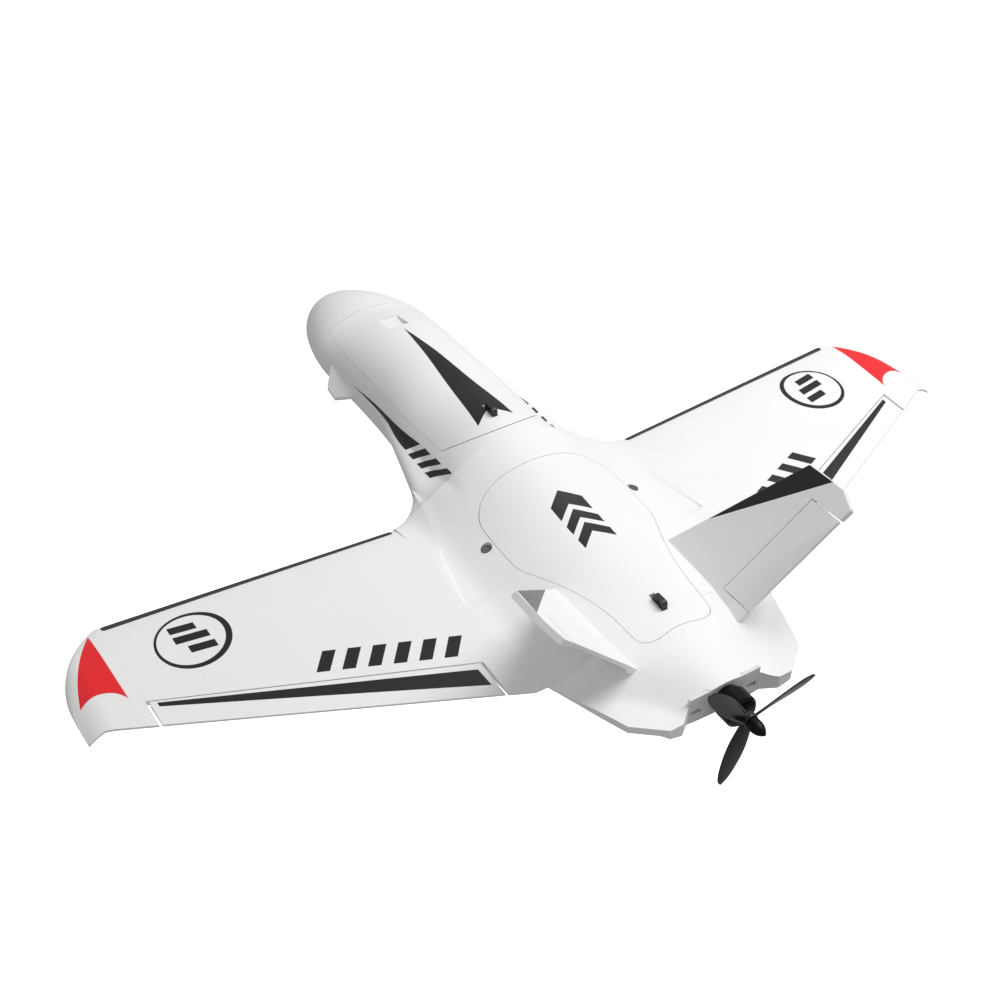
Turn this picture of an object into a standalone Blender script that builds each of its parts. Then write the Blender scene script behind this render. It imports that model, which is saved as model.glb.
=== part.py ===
"""Radio-controlled foam flying wing with a V-tail and a pusher motor, as an assembly of sub-parts.

Frame: metres, +X to port (the left wing), +Y aft, +Z up. The origin is on the flat belly, on the
centreline, under the inner end of the wing's leading-edge strips.
"""

import math

import bmesh
import bpy
import numpy as np
from mathutils import Matrix, Vector

# ---- overall sizes -------------------------------------------------------------------------
WING_SPAN = 0.845
NOSE_LENGTH = 0.374
BODY_END = 0.3055
WING_PLANE_Z = 0.038
MESH_GAP = 0.0003
PORT_SIDE = 1
STARBOARD_SIDE = -1
SIDES = (("left", PORT_SIDE), ("right", STARBOARD_SIDE))

# ---- wing ----------------------------------------------------------------------------------
ROOT_X = 0.118
ROOT_LE_Y = -0.0045
ROOT_TE_Y = 0.217
LE_SWEEP = -0.0844
TE_SWEEP = -0.4713
TIP_RAKE_LENGTH = 0.046
TIP_RAKE_DEPTH = 0.0639
TIP_RAKE_POWER = 1.7
TIP_TE_Y = 0.080
TIP_THINNING = 0.45
TIP_DROOP = 0.009
TIP_DROOP_LENGTH = 0.022
ROOT_HALF_THICKNESS = 0.012
TIP_HALF_THICKNESS = 0.0055
TE_HALF_THICKNESS = 0.0012
SECTION_PEAK = 0.30
SECTION_NOSE_POWER = 2.2
SECTION_TAIL_POWER = 1.15
UNDERSIDE_SHARE = 0.7
HINGE_TO_WING_PLANE = 0.001
WING_RIBS = 9
RIB_POINTS = 9

# ---- elevons -------------------------------------------------------------------------------
ELEVON_INNER_X = 0.1390
ELEVON_TIP_MARGIN = 0.0520
ELEVON_INNER_HINGE_Y = 0.1708
ELEVON_HINGE_SWEEP = -0.4298
ELEVON_GAP = 0.0008
ELEVON_END_GAP = 0.0022
ELEVON_BEVEL = math.radians(34)

# ---- leading-edge strips -------------------------------------------------------------------
STRIP_INNER_X = 0.1215
STRIP_TIP_MARGIN = 0.0495
STRIP_WIDTH = 0.0065
STRIP_THICKNESS = 0.0006
STRIP_SETBACK = 0.0020
STRIP_LIFT = 0.0006

# ---- fuselage ------------------------------------------------------------------------------
NOSE_BLEND_Y = -0.247
NOSE_POWER = 1.5
NOSE_TIP_Z = 0.014
HULL_MIDDLE_Z = 0.0515
HULL_POWER = 1.95
BELLY_POWER = 2.2
STRAKE_REAR = (0.0824, -0.0345)
STRAKE_SLOPE = 0.238
STRAKE_START_Y = -0.160
FLARE_START_Y = -0.037
WING_BLEND_START_Y = -0.110
WING_BLEND_END_Y = 0.030
BLEND_HALF_WIDTH = 0.110
BLEND_POWER = 1.35
SHOULDER_SHARPNESS = 2.2
BODY_COLUMNS = 13
STATION_STEPS = 7
TAIL_SIDE_X = 0.1075
LOBE_SIDE_X = 0.082
LOBE_SIDE_Y = 0.2855
LOBE_END_X = 0.058
NOTCH_OUTER_X = 0.046
NOTCH_INNER_X = 0.035
NOTCH_Y = 0.2965
LOBE_HALF_THICKNESS = 0.0040
LOBE_RISE = 0.060
BAY_FLOOR_Z = 0.011
# Heights and half widths of the hull along the body, as (place aft, value) knots.
TOP_LINE = (
    (NOSE_BLEND_Y, 0.0885), (-0.200, 0.0990), (-0.150, 0.1020), (-0.085, 0.0985), (-0.035, 0.0980),
    (0.030, 0.0880), (0.100, 0.0765), (0.150, 0.0715), (0.210, 0.0665), (0.255, 0.0600),
    (BODY_END, 0.0500),
)
BELLY_LINE = (
    (NOSE_BLEND_Y, 0.015), (-0.100, -0.003), (0.0, -0.003), (0.120, -0.003), (0.200, 0.003),
    (0.260, 0.016), (BODY_END, 0.026),
)
WAIST_LINE = (
    (NOSE_BLEND_Y, 0.0605), (-0.150, 0.0575), (-0.085, 0.0600), (-0.035, 0.0600), (0.020, 0.0620),
)

# ---- hatches and bays ----------------------------------------------------------------------
FRONT_HATCH_START_Y = -0.256
FRONT_HATCH_END_Y = -0.0372
FRONT_HATCH_PART_Z = 0.075
FRONT_HATCH_LEAN = 1.10
REAR_HATCH_FRONT_Y = 0.030
REAR_HATCH_END_Y = 0.2385
REAR_HATCH_PART_Z = 0.0505
HATCH_GAP = 0.0005
BATTERY_BAY = (0.031, -0.225, -0.066)
BATTERY_BAY_FLOOR_Z = 0.026
AVIONICS_BAY = (0.033, 0.044, 0.192)
WIRE_CHANNEL_HALF_WIDTH = 0.010
WIRE_CHANNEL_HEIGHT = 0.014
HATCH_POCKET_DEPTH = 0.010
HATCH_POCKET_RIM = 0.008
INTAKE_FRONT_Y = -0.221
INTAKE_REAR_Y = -0.197
INTAKE_HALF_WIDTH = 0.010
INTAKE_DEPTH = 0.0055
INTAKE_LIP = 0.0012

# ---- latch tabs ----------------------------------------------------------------------------
LATCH_WIDTH = 0.0045
LATCH_LENGTH = 0.014
LATCH_HEIGHT = 0.0065
LATCH_SINK = 0.006
LATCH_TRAVEL = 0.004
LATCH_CLEARANCE = 0.0004
LATCH_FLOOR_CLEARANCE = 0.0014
LATCH_CORNER = 0.003
LATCH_HOLE_RADIUS = 0.0014
FRONT_LATCH_Y = -0.0355
REAR_LATCH_Y = 0.2120

# ---- V-tail --------------------------------------------------------------------------------
FIN_CANT = math.radians(48)
FIN_BASE_X = 0.056
FIN_BASE_Z = 0.061
FIN_THICKNESS = 0.0062
FIN_ROOT_LE_Y = 0.1465
FIN_ROOT_TE_Y = 0.2485
FIN_ROOT_SINK = 0.005
FIN_LE_SINK = 0.004
FIN_TE_SINK = 0.015
FIN_LOW_TE_SPAN = -FIN_ROOT_SINK - FIN_TE_SINK
FIN_TIP_SPAN = 0.120
FIN_TIP_LE_Y = 0.2160
FIN_TIP_KINK_Y = 0.2545
FIN_SHOULDER_SPAN = 0.1115
FIN_SHOULDER_Y = 0.2705
RUDDER_INNER_SPAN = 0.0010
RUDDER_OUTER_SPAN = 0.0990
RUDDER_INNER_HINGE_Y = 0.2210
RUDDER_OUTER_HINGE_Y = 0.2368
RUDDER_GAP = 0.0007
RUDDER_END_GAP = 0.0010
RUDDER_BEVEL = math.radians(32)
RUDDER_TAIL_SHARE = 0.55

# ---- spars ---------------------------------------------------------------------------------
MAIN_SPAR_Y = 0.0755
MAIN_SPAR_RADIUS = 0.0050
MAIN_SPAR_BORE = 0.0035
MAIN_SPAR_END_TO_LINKAGE = 0.058
REAR_SPAR_Y = 0.1300
REAR_SPAR_RADIUS = 0.0030
REAR_SPAR_BORE = 0.0020
REAR_SPAR_HALF_LENGTH = 0.170
SPAR_CLEARANCE = 0.0004
SPAR_END_CLEARANCE = 0.002
LOCK_X = 0.0740
LOCK_HEAD_RADIUS = 0.0046
LOCK_HEAD_HEIGHT = 0.0030
LOCK_SINK = 0.0010
LOCK_SEAT_DEPTH = 0.0010

# ---- motor and propeller -------------------------------------------------------------------
MOTOR_AXIS_Z = 0.038
MOUNT_THICKNESS = 0.0030
MOUNT_HALF_WIDTH = 0.0335
MOUNT_HALF_HEIGHT = 0.0125
VENT_X = 0.0265
VENT_RISE = -0.003
VENT_WIDTH = 0.0090
VENT_HEIGHT = 0.0050
MOUNT_HOLE_RADIUS = 0.004
STATOR_RADIUS = 0.0110
STATOR_LENGTH = 0.0060
BELL_RADIUS = 0.0142
BELL_LENGTH = 0.0155
COLLAR_RADIUS = 0.0042
COLLAR_LENGTH = 0.0025
BELL_WALL = 0.0012
SHAFT_RADIUS = 0.0025
SHAFT_LENGTH = 0.0210
BELL_CLEARANCE = 0.0006
PROPELLER_RADIUS = 0.0640
PROPELLER_HUB_RADIUS = 0.0065
PROPELLER_HUB_LENGTH = 0.0070
PROPELLER_BLADES = 3
PROPELLER_PHASE = math.radians(48.6)
BLADE_CHORD = 0.0150
BLADE_THICKNESS = 0.0022
BLADE_THINNING = 0.45
BLADE_ROOT_SHARE = 0.6
BLADE_CHORD_SHARES = (
    (0.0, 0.55), (0.17, 0.78), (0.34, 0.95), (0.5, 1.0), (0.67, 0.94), (0.84, 0.76), (1.0, 0.36),
)
BLADE_PITCH_POWER = 0.7
BLADE_PITCH_ROOT = -math.radians(52)
BLADE_PITCH_TIP = -math.radians(17)
BLADE_STATIONS = 7
BLADE_SECTION = ((-0.5, 0.0), (-0.2, 0.5), (0.2, 0.5), (0.5, 0.0), (0.2, -0.35), (-0.2, -0.35))
NUT_RADIUS = 0.0056
NUT_LENGTH = 0.0160
NUT_STRAIGHT_SHARE = 0.35
NUT_ROUNDING = 0.75
RUNNING_CLEARANCE = 0.0003

# ---- elevon linkages -----------------------------------------------------------------------
LINKAGE_SHARE = 0.652
SERVO_SIZE = (0.0225, 0.0230, 0.0118)
SERVO_HINGE_DISTANCE = 0.072
SERVO_CLEARANCE = 0.0004
SERVO_REACH_BELOW = 0.0040
ARM_RADIUS = 0.0140
ARM_THICKNESS = 0.0020
ARM_BOSS_RADIUS = 0.0033
ARM_TIP_RADIUS = 0.0018
ARM_GAP = 0.0008
HORN_DROP = 0.0160
HORN_THICKNESS = 0.0016
HORN_TIP_RADIUS = 0.0022
HORN_BASE_LENGTH = 0.0120
ROD_RADIUS = 0.0008
ROD_OVERRUN = 0.0030
ROD_GAP = 0.0009

# ---- side fairings -------------------------------------------------------------------------
FAIRING_FRONT_Y = -0.2270
FAIRING_REAR_Y = -0.1850
FAIRING_OUTER_FRONT_Y = -0.2145
FAIRING_OUTER_REAR_Y = -0.1995
FAIRING_TOP_Z = 0.0586
FAIRING_REACH = 0.0115
FAIRING_EMBED = 0.008
FAIRING_THICKNESS = 0.004
FAIRING_FALL_OUT = 0.85
FAIRING_FALL_AFT = 0.25

# ---- equipment in the bays -----------------------------------------------------------------
BATTERY_SIZE = (0.042, 0.105, 0.034)
BATTERY_Y = -0.160
TRAY_THICKNESS = 0.0015
TRAY_MARGIN = 0.005
BATTERY_BEVEL = 0.003
CONTROLLER_SIZE = (0.036, 0.036, 0.009)
CONTROLLER_Y = 0.075
REGULATOR_SIZE = (0.024, 0.045, 0.008)
REGULATOR_Y = 0.150
RECEIVER_SIZE = (0.018, 0.025, 0.007)
RECEIVER_Y = 0.110
BOARD_BEVEL = 0.0012

# ---- colours -------------------------------------------------------------------------------
FINISHES = {
    "foam": ((0.90, 0.90, 0.89), 0.55, 0.0),
    "black_plastic": ((0.03, 0.03, 0.03), 0.45, 0.0),
    "gloss_black": ((0.02, 0.02, 0.02), 0.25, 0.0),
    "grey_plastic": ((0.20, 0.20, 0.20), 0.50, 0.0),
    "carbon": ((0.05, 0.05, 0.05), 0.35, 0.0),
    "motor_metal": ((0.06, 0.06, 0.06), 0.30, 0.9),
    "steel": ((0.60, 0.60, 0.60), 0.25, 1.0),
    "white_plastic": ((0.85, 0.85, 0.85), 0.45, 0.0),
    "circuit": ((0.02, 0.12, 0.06), 0.50, 0.0),
    "wrap": ((0.08, 0.10, 0.30), 0.40, 0.0),
}


# ============================================================================================
# Scene helpers
# ============================================================================================
def clear_scene():
    for obj in list(bpy.data.objects):
        bpy.data.objects.remove(obj, do_unlink=True)


def new_collection(name):
    collection = bpy.data.collections.new(name)
    bpy.context.scene.collection.children.link(collection)
    return collection


def material(finish):
    """The Principled material of one finish, made the first time that it is asked for."""
    found = bpy.data.materials.get(finish)
    if found:
        return found
    colour, roughness, metallic = FINISHES[finish]
    made = bpy.data.materials.new(finish)
    made.use_nodes = True
    shader = made.node_tree.nodes["Principled BSDF"]
    shader.inputs["Base Color"].default_value = (*colour, 1.0)
    shader.inputs["Roughness"].default_value = roughness
    shader.inputs["Metallic"].default_value = metallic
    return made


def sub_part_material(name, finish):
    """A copy of the finish for one sub-part, so that each keeps its own material."""
    own = material(finish).copy()
    own.name = f"{name}_{finish}"
    return own


def add_object(name, mesh, collection, finish=None):
    obj = bpy.data.objects.new(name, mesh)
    collection.objects.link(obj)
    if finish:
        mesh.materials.clear()
        mesh.materials.append(sub_part_material(name, finish))
    return obj


def mesh_from(name, points, faces):
    """A mesh with doubled points merged and its faces turned outwards."""
    mesh = bpy.data.meshes.new(name)
    mesh.from_pydata([tuple(map(float, point)) for point in points], [], faces)
    work = bmesh.new()
    work.from_mesh(mesh)
    bmesh.ops.remove_doubles(work, verts=work.verts, dist=1e-6)
    bmesh.ops.recalc_face_normals(work, faces=work.faces)
    work.to_mesh(mesh)
    work.free()
    return mesh


def smooth(mesh, degrees=35):
    mesh.shade_smooth()
    mesh.set_sharp_from_angle(angle=math.radians(degrees))


def loft_mesh(name, rings):
    """A closed surface through rings of equally many points, with a flat cap on each end."""
    count = len(rings[0])
    points = [point for ring in rings for point in ring]
    faces = []
    for row in range(len(rings) - 1):
        for column in range(count):
            following = (column + 1) % count
            faces.append(
                (
                    row * count + column,
                    row * count + following,
                    (row + 1) * count + following,
                    (row + 1) * count + column,
                )
            )
    faces.append(tuple(reversed(range(count))))
    faces.append(tuple(range((len(rings) - 1) * count, len(rings) * count)))
    mesh = mesh_from(name, points, faces)
    smooth(mesh)
    return mesh


def prism_mesh(name, outline, low, high, place=None):
    """The outline, a list of (u, v), swept from low to high along w, then placed by a matrix."""
    rings = [[Vector((u, v, level)) for u, v in outline] for level in (low, high)]
    if place is not None:
        rings = [[place @ point for point in ring] for ring in rings]
    mesh = loft_mesh(name, rings)
    mesh.shade_flat()
    return mesh


def box_mesh(name, low, high, bevel=0.0):
    work = bmesh.new()
    bmesh.ops.create_cube(work, size=1.0)
    size = Vector(high) - Vector(low)
    centre = (Vector(high) + Vector(low)) / 2
    for vertex in work.verts:
        vertex.co = Vector(a * b for a, b in zip(vertex.co, size)) + centre
    if bevel:
        bmesh.ops.bevel(work, geom=work.edges[:], offset=bevel, segments=2, affect="EDGES", profile=0.5)
    mesh = bpy.data.meshes.new(name)
    work.to_mesh(mesh)
    work.free()
    return mesh


def centred_box(name, centre, size, bevel=0.0):
    half = Vector(size) / 2
    return box_mesh(name, Vector(centre) - half, Vector(centre) + half, bevel)


def cylinder_mesh(name, radius, start, end, segments=24, end_radius=None):
    """A closed cylinder or cone between two points."""
    work = bmesh.new()
    axis = Vector(end) - Vector(start)
    bmesh.ops.create_cone(
        work,
        cap_ends=True,
        segments=segments,
        radius1=radius,
        radius2=radius if end_radius is None else end_radius,
        depth=axis.length,
    )
    turn = Vector((0, 0, 1)).rotation_difference(axis).to_matrix().to_4x4()
    place = Matrix.Translation((Vector(start) + Vector(end)) / 2) @ turn
    bmesh.ops.transform(work, matrix=place, verts=work.verts)
    mesh = bpy.data.meshes.new(name)
    work.to_mesh(mesh)
    work.free()
    smooth(mesh)
    return mesh


def turned_object(name, profile, finish, collection, segments=32):
    """A solid turned about the motor's axis from (radius, distance aft) points, outer side first."""
    mesh = bpy.data.meshes.new(name)
    points = [(radius, 0.0, -aft) for radius, aft in profile]
    mesh.from_pydata(points, [(i, i + 1) for i in range(len(points) - 1)], [])
    obj = add_object(name, mesh, collection, finish)
    screw = obj.modifiers.new("turn", "SCREW")
    screw.steps = segments
    screw.render_steps = segments
    screw.use_merge_vertices = True
    screw.merge_threshold = 0.00001
    screw.use_smooth_shade = True
    obj.rotation_euler = (math.radians(90), 0.0, 0.0)
    return obj


def add_boolean(obj, cutters, operation="DIFFERENCE"):
    for cutter in cutters:
        modifier = obj.modifiers.new(cutter.name, "BOOLEAN")
        modifier.operation = operation
        modifier.object = cutter
        modifier.solver = "EXACT"


def cutter(name, mesh, collection):
    obj = add_object(name, mesh, collection)
    obj.hide_render = True
    obj.display_type = "WIRE"
    return obj


def set_origin(obj, point):
    """Moves the object's origin to a point without moving its shape."""
    obj.data.transform(Matrix.Translation(-Vector(point)))
    obj.location = point


def mirrored(mesh, side):
    """The mesh itself on the port side, or its mirror image across the centreline."""
    if side == STARBOARD_SIDE:
        mesh.transform(Matrix.Scale(-1, 4, Vector((1, 0, 0))))
        mesh.flip_normals()
    return mesh


def arc(centre, radius, start, end, count):
    """Points round a centre from one angle to another, in degrees."""
    angles = [math.radians(start + (end - start) * step / (count - 1)) for step in range(count)]
    return [(centre[0] + radius * math.cos(a), centre[1] + radius * math.sin(a)) for a in angles]


def eased(value):
    value = min(max(value, 0.0), 1.0)
    return value * value * (3 - 2 * value)


# ============================================================================================
# Surfaces shared by the wing, its elevons and the body's wing stubs
# ============================================================================================
UPRIGHT = Matrix(((0, 0, 1, 0), (1, 0, 0, 0), (0, 1, 0, 0), (0, 0, 0, 1)))
CEILING = 0.2
CUT_OVERRUN = 0.01
NOTCH_REACH = 0.08
HALF_SPAN = WING_SPAN / 2
RAKE_START_X = HALF_SPAN - TIP_RAKE_LENGTH
ELEVON_OUTER_X = HALF_SPAN - ELEVON_TIP_MARGIN
STRIP_OUTER_X = HALF_SPAN - STRIP_TIP_MARGIN
LINKAGE_X = ELEVON_INNER_X + LINKAGE_SHARE * (ELEVON_OUTER_X - ELEVON_INNER_X)
MAIN_SPAR_HALF_LENGTH = LINKAGE_X - MAIN_SPAR_END_TO_LINKAGE
HINGE_PLANE_Z = WING_PLANE_Z - HINGE_TO_WING_PLANE


def leading_edge_y(x):
    straight = ROOT_LE_Y + LE_SWEEP * (min(x, RAKE_START_X) - ROOT_X)
    raked = max(x - RAKE_START_X, 0.0) / TIP_RAKE_LENGTH
    return straight + TIP_RAKE_DEPTH * (1 - math.sqrt(max(1 - raked ** TIP_RAKE_POWER, 0.0)))


def trailing_edge_y(x):
    straight = ROOT_TE_Y + TE_SWEEP * (x - ROOT_X)
    return max(straight, TIP_TE_Y)


def half_thickness(x):
    share = min(max((x - ROOT_X) / (RAKE_START_X - ROOT_X), 0.0), 1.0)
    tip_share = max(x - RAKE_START_X, 0.0) / TIP_RAKE_LENGTH
    straight = ROOT_HALF_THICKNESS + (TIP_HALF_THICKNESS - ROOT_HALF_THICKNESS) * share
    return straight * (1 - TIP_THINNING * eased(tip_share))


def wing_mid_z(x):
    drop = max(x - (HALF_SPAN - TIP_DROOP_LENGTH), 0.0) / TIP_DROOP_LENGTH
    return HINGE_PLANE_Z - TIP_DROOP * drop ** 2


def section_height(fraction, thickness):
    """Half height of the rib at a fraction of its chord: round nose, then a nearly straight tail."""
    if fraction < SECTION_PEAK:
        reach = (SECTION_PEAK - fraction) / SECTION_PEAK
        return thickness * math.sqrt(max(1 - reach ** SECTION_NOSE_POWER, 0.0))
    share = (fraction - SECTION_PEAK) / (1 - SECTION_PEAK)
    return thickness + (TE_HALF_THICKNESS - thickness) * share ** SECTION_TAIL_POWER


def wing_heights(x, y):
    """Heights of the wing's lower and upper surface at a place in plan."""
    lead = leading_edge_y(x)
    fraction = min(max((y - lead) / (trailing_edge_y(x) - lead), 0.0), 1.0)
    height = section_height(fraction, half_thickness(x))
    middle = wing_mid_z(x)
    return middle - UNDERSIDE_SHARE * height, middle + height


def rib_ring(x):
    """The closed outline of the wing's section at one place along the span."""
    fractions = [(1 - math.cos(math.pi * i / RIB_POINTS)) / 2 for i in range(RIB_POINTS + 1)]
    lead = leading_edge_y(x)
    chord = trailing_edge_y(x) - lead
    upper = []
    lower = []
    for fraction in fractions:
        y = lead + chord * fraction
        low, high = wing_heights(x, y)
        upper.append(Vector((x, y, high)))
        lower.append(Vector((x, y, low)))
    return upper + list(reversed(lower[1:]))


def hinge_y(x):
    return ELEVON_INNER_HINGE_Y + ELEVON_HINGE_SWEEP * (x - ELEVON_INNER_X)


def elevon_hinge_point(x):
    """A point of the elevon's hinge, which runs straight along the wing's upper surface."""
    ends = [
        Vector((end, hinge_y(end), wing_heights(end, hinge_y(end))[1]))
        for end in (ELEVON_INNER_X, ELEVON_OUTER_X)
    ]
    share = (x - ELEVON_INNER_X) / (ELEVON_OUTER_X - ELEVON_INNER_X)
    return ends[0].lerp(ends[1], share)


# ============================================================================================
# Body surface
# ============================================================================================
def through(knots, y):
    """A smooth curve through (y, value) knots."""
    ys = [knot[0] for knot in knots]
    values = [knot[1] for knot in knots]
    slopes = np.gradient(np.array(values), np.array(ys))
    y = min(max(y, ys[0]), ys[-1])
    i = min(max(int(np.searchsorted(ys, y)) - 1, 0), len(ys) - 2)
    width = ys[i + 1] - ys[i]
    t = (y - ys[i]) / width
    return float(
        (2 * t ** 3 - 3 * t ** 2 + 1) * values[i]
        + (t ** 3 - 2 * t ** 2 + t) * width * slopes[i]
        + (3 * t ** 2 - 2 * t ** 3) * values[i + 1]
        + (t ** 3 - t ** 2) * width * slopes[i + 1]
    )


def nose_scale(y):
    """1 over the body, falling to 0 at the tip of the nose."""
    if y >= NOSE_BLEND_Y:
        return 1.0
    reach = (NOSE_BLEND_Y - y) / (NOSE_LENGTH + NOSE_BLEND_Y)
    return max(1 - min(reach, 1.0) ** NOSE_POWER, 0.0) ** (1 / NOSE_POWER)


def wing_share(y):
    """0 over the nose, 1 where the body carries the wing."""
    return eased((y - WING_BLEND_START_Y) / (WING_BLEND_END_Y - WING_BLEND_START_Y))


def strake_half_width(y):
    """Half the span of the root strake, which widens straight back from the hull's side."""
    return STRAKE_REAR[0] + STRAKE_SLOPE * (y - STRAKE_REAR[1])


def body_half_width(y):
    """Half the body's width in plan, out to the wing joints and the tail's side edges."""
    if y < ROOT_LE_Y:
        hull = through(WAIST_LINE, y) * nose_scale(y)
        strake = strake_half_width(y)
        reach = max(y - FLARE_START_Y, 0.0) / (ROOT_LE_Y - FLARE_START_Y)
        return max(hull, strake + (ROOT_X - strake) * (1 - math.sqrt(1 - reach ** 2)))
    if y <= ROOT_TE_Y:
        return ROOT_X
    if y <= LOBE_SIDE_Y:
        share = (y - ROOT_TE_Y) / (LOBE_SIDE_Y - ROOT_TE_Y)
        return TAIL_SIDE_X + (LOBE_SIDE_X - TAIL_SIDE_X) * share
    share = (y - LOBE_SIDE_Y) / (BODY_END - LOBE_SIDE_Y)
    return LOBE_SIDE_X + (LOBE_END_X - LOBE_SIDE_X) * share


def middle_z(y):
    """Height of the line that the upper and lower surfaces start from."""
    share = wing_share(y)
    nose_mid = NOSE_TIP_Z + (HULL_MIDDLE_Z - NOSE_TIP_Z) * nose_scale(y)
    return nose_mid * (1 - share) + HINGE_PLANE_Z * share


def stub_lead_y(x, y):
    """The leading edge of the wing stub at x: along the strake, then round the fillet."""
    strake_lead = STRAKE_REAR[1] + (abs(x) - STRAKE_REAR[0]) / STRAKE_SLOPE
    if y < FLARE_START_Y:
        return strake_lead
    strake = strake_half_width(y)
    outward = min(max((abs(x) - strake) / (ROOT_X - strake), 0.0), 1.0)
    reach = math.sqrt(1 - (1 - outward) ** 2)
    return min(strake_lead, FLARE_START_Y + (ROOT_LE_Y - FLARE_START_Y) * reach)


def stub_height(x, y):
    """Half height of the wing stub, which carries the wing's own root section."""
    if y > ROOT_TE_Y:
        share = eased((y - ROOT_TE_Y) / LOBE_RISE)
        return TE_HALF_THICKNESS + (LOBE_HALF_THICKNESS - TE_HALF_THICKNESS) * share
    lead = max(stub_lead_y(x, y), STRAKE_START_Y)
    return section_height(max(y - lead, 0.0) / (ROOT_TE_Y - lead), ROOT_HALF_THICKNESS)


def hull_fraction(x, y, power):
    """How high the rounded hull stands at x, as a share of its height on the centreline."""
    half = max(through(WAIST_LINE, y) * nose_scale(y), 1e-5)
    tube = max(1 - min(abs(x) / half, 1.0) ** power, 0.0) ** (1 / power)
    share = wing_share(y)
    reach = BLEND_HALF_WIDTH * min(1.0, (body_half_width(y) / BLEND_HALF_WIDTH))
    bell = max(1 - min(abs(x) / reach, 1.0) ** 2, 0.0) ** BLEND_POWER
    return tube * (1 - share) + bell * share


def body_heights(x, y):
    """Heights of the body's lower and upper surface at a place in plan."""
    middle = middle_z(y)
    scale = nose_scale(y)
    top = max(through(TOP_LINE, y) - middle, 0.0) * scale
    depth = max(middle - through(BELLY_LINE, y), 0.0) * scale
    stub = stub_height(x, y)
    sharp = SHOULDER_SHARPNESS
    rise = ((top * hull_fraction(x, y, HULL_POWER)) ** sharp + stub ** sharp) ** (1 / sharp)
    belly = belly_fraction(x, y)
    drop = ((depth * belly) ** sharp + (UNDERSIDE_SHARE * stub) ** sharp) ** (1 / sharp)
    return max(middle - drop, 0.0), middle + rise


def belly_fraction(x, y):
    """How deep the belly hangs at x, as a share of its depth on the centreline."""
    half = max(through(WAIST_LINE, y) * nose_scale(y), 1e-5)
    return max(1 - min(abs(x) / half, 1.0) ** BELLY_POWER, 0.0) ** (1 / BELLY_POWER)


def body_station_ys():
    """Stations close together round the nose and the wing roots, and on every corner in plan."""
    shares = [math.pi / 2 * step / STATION_STEPS for step in range(1, STATION_STEPS + 1)]
    nose = [-NOSE_LENGTH + (NOSE_LENGTH + NOSE_BLEND_Y) * (1 - math.cos(share)) for share in shares]
    front = list(np.linspace(NOSE_BLEND_Y, FLARE_START_Y, 10)[1:])
    flare = [FLARE_START_Y + (ROOT_LE_Y - FLARE_START_Y) * math.sin(share) for share in shares]
    roots = [ROOT_LE_Y + step for step in (0.0008, 0.004, 0.012, 0.030, 0.053)]
    wing = list(np.linspace(roots[-1], ROOT_TE_Y, 8)[1:])
    tail = list(np.linspace(ROOT_TE_Y, LOBE_SIDE_Y, 4)[1:])
    return nose + front + flare + roots + wing + [ROOT_TE_Y + 0.004] + tail + [BODY_END]


def body_ring(y):
    """The closed outline of the body at one station: over the top to port, back under the belly."""
    half = body_half_width(y)
    angles = [math.pi * i / (2 * BODY_COLUMNS) for i in range(2 * BODY_COLUMNS + 1)]
    xs = [-half * math.cos(angle) for angle in angles]
    heights = [body_heights(x, y) for x in xs]
    upper = [Vector((x, y, high)) for x, (low, high) in zip(xs, heights)]
    lower = [Vector((x, y, low)) for x, (low, high) in zip(xs, heights)]
    return upper + list(reversed(lower))


def body_mesh(name):
    """The whole outer form of the body, closed over the nose and flat at the tail."""
    return loft_mesh(name, [body_ring(y) for y in body_station_ys()])


# ============================================================================================
# Sub-parts
# ============================================================================================
def rear_hatch_outline(grow=0.0):
    """Plan outline of the rear hatch: wide at the shoulders, narrow beside the fins."""
    front = REAR_HATCH_FRONT_Y
    end = REAR_HATCH_END_Y
    half = [
        (0.0, front), (0.032, front), (0.043, front + 0.0015), (0.053, front + 0.0055),
        (0.061, front + 0.0125), (0.0660, 0.052), (0.0675, 0.062), (0.0675, 0.107),
        (0.0655, 0.1155), (0.0575, 0.134), (0.0515, 0.148), (0.0465, 0.162), (0.0425, 0.176),
        (0.0395, 0.190), (0.0375, 0.204), (0.0365, 0.218), (0.0355, end - 0.008),
        (0.0325, end - 0.0035), (0.027, end), (0.019, end + 0.0005), (0.011, end - 0.001),
        (0.0, end - 0.002),
    ]
    outline = half + [(-x, y) for x, y in reversed(half[1:-1])]
    return grown(outline, grow)


def front_hatch_form(name, grow=0.0):
    """The nose hatch's cutting form: its side outline, whose rear edge leans aft, across the body."""
    outline = [
        (FRONT_HATCH_START_Y, FRONT_HATCH_PART_Z), (FRONT_HATCH_END_Y, FRONT_HATCH_PART_Z),
        (FRONT_HATCH_END_Y + FRONT_HATCH_LEAN * CEILING, FRONT_HATCH_PART_Z + CEILING),
        (FRONT_HATCH_START_Y, FRONT_HATCH_PART_Z + CEILING),
    ]
    return prism_mesh(name, grown(outline, grow), -ROOT_X, ROOT_X, UPRIGHT)


def grown(outline, distance):
    """The outline moved outwards by a distance, each corner along the mean of its edges' normals."""
    if not distance:
        return outline
    points = [Vector(point) for point in outline]
    turning = sum(a.x * b.y - b.x * a.y for a, b in zip(points, points[1:] + points[:1]))
    sign = 1 if turning > 0 else -1
    moved = []
    for i, point in enumerate(points):
        before = (point - points[i - 1]).normalized()
        after = (points[(i + 1) % len(points)] - point).normalized()
        normal = Vector((before.y + after.y, -before.x - after.x)).normalized() * sign
        opening = max(normal.dot(Vector((before.y, -before.x)) * sign), 0.3)
        moved.append(tuple(point + normal * (distance / opening)))
    return moved


def top_height(y):
    return body_heights(0.0, y)[1]


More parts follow.
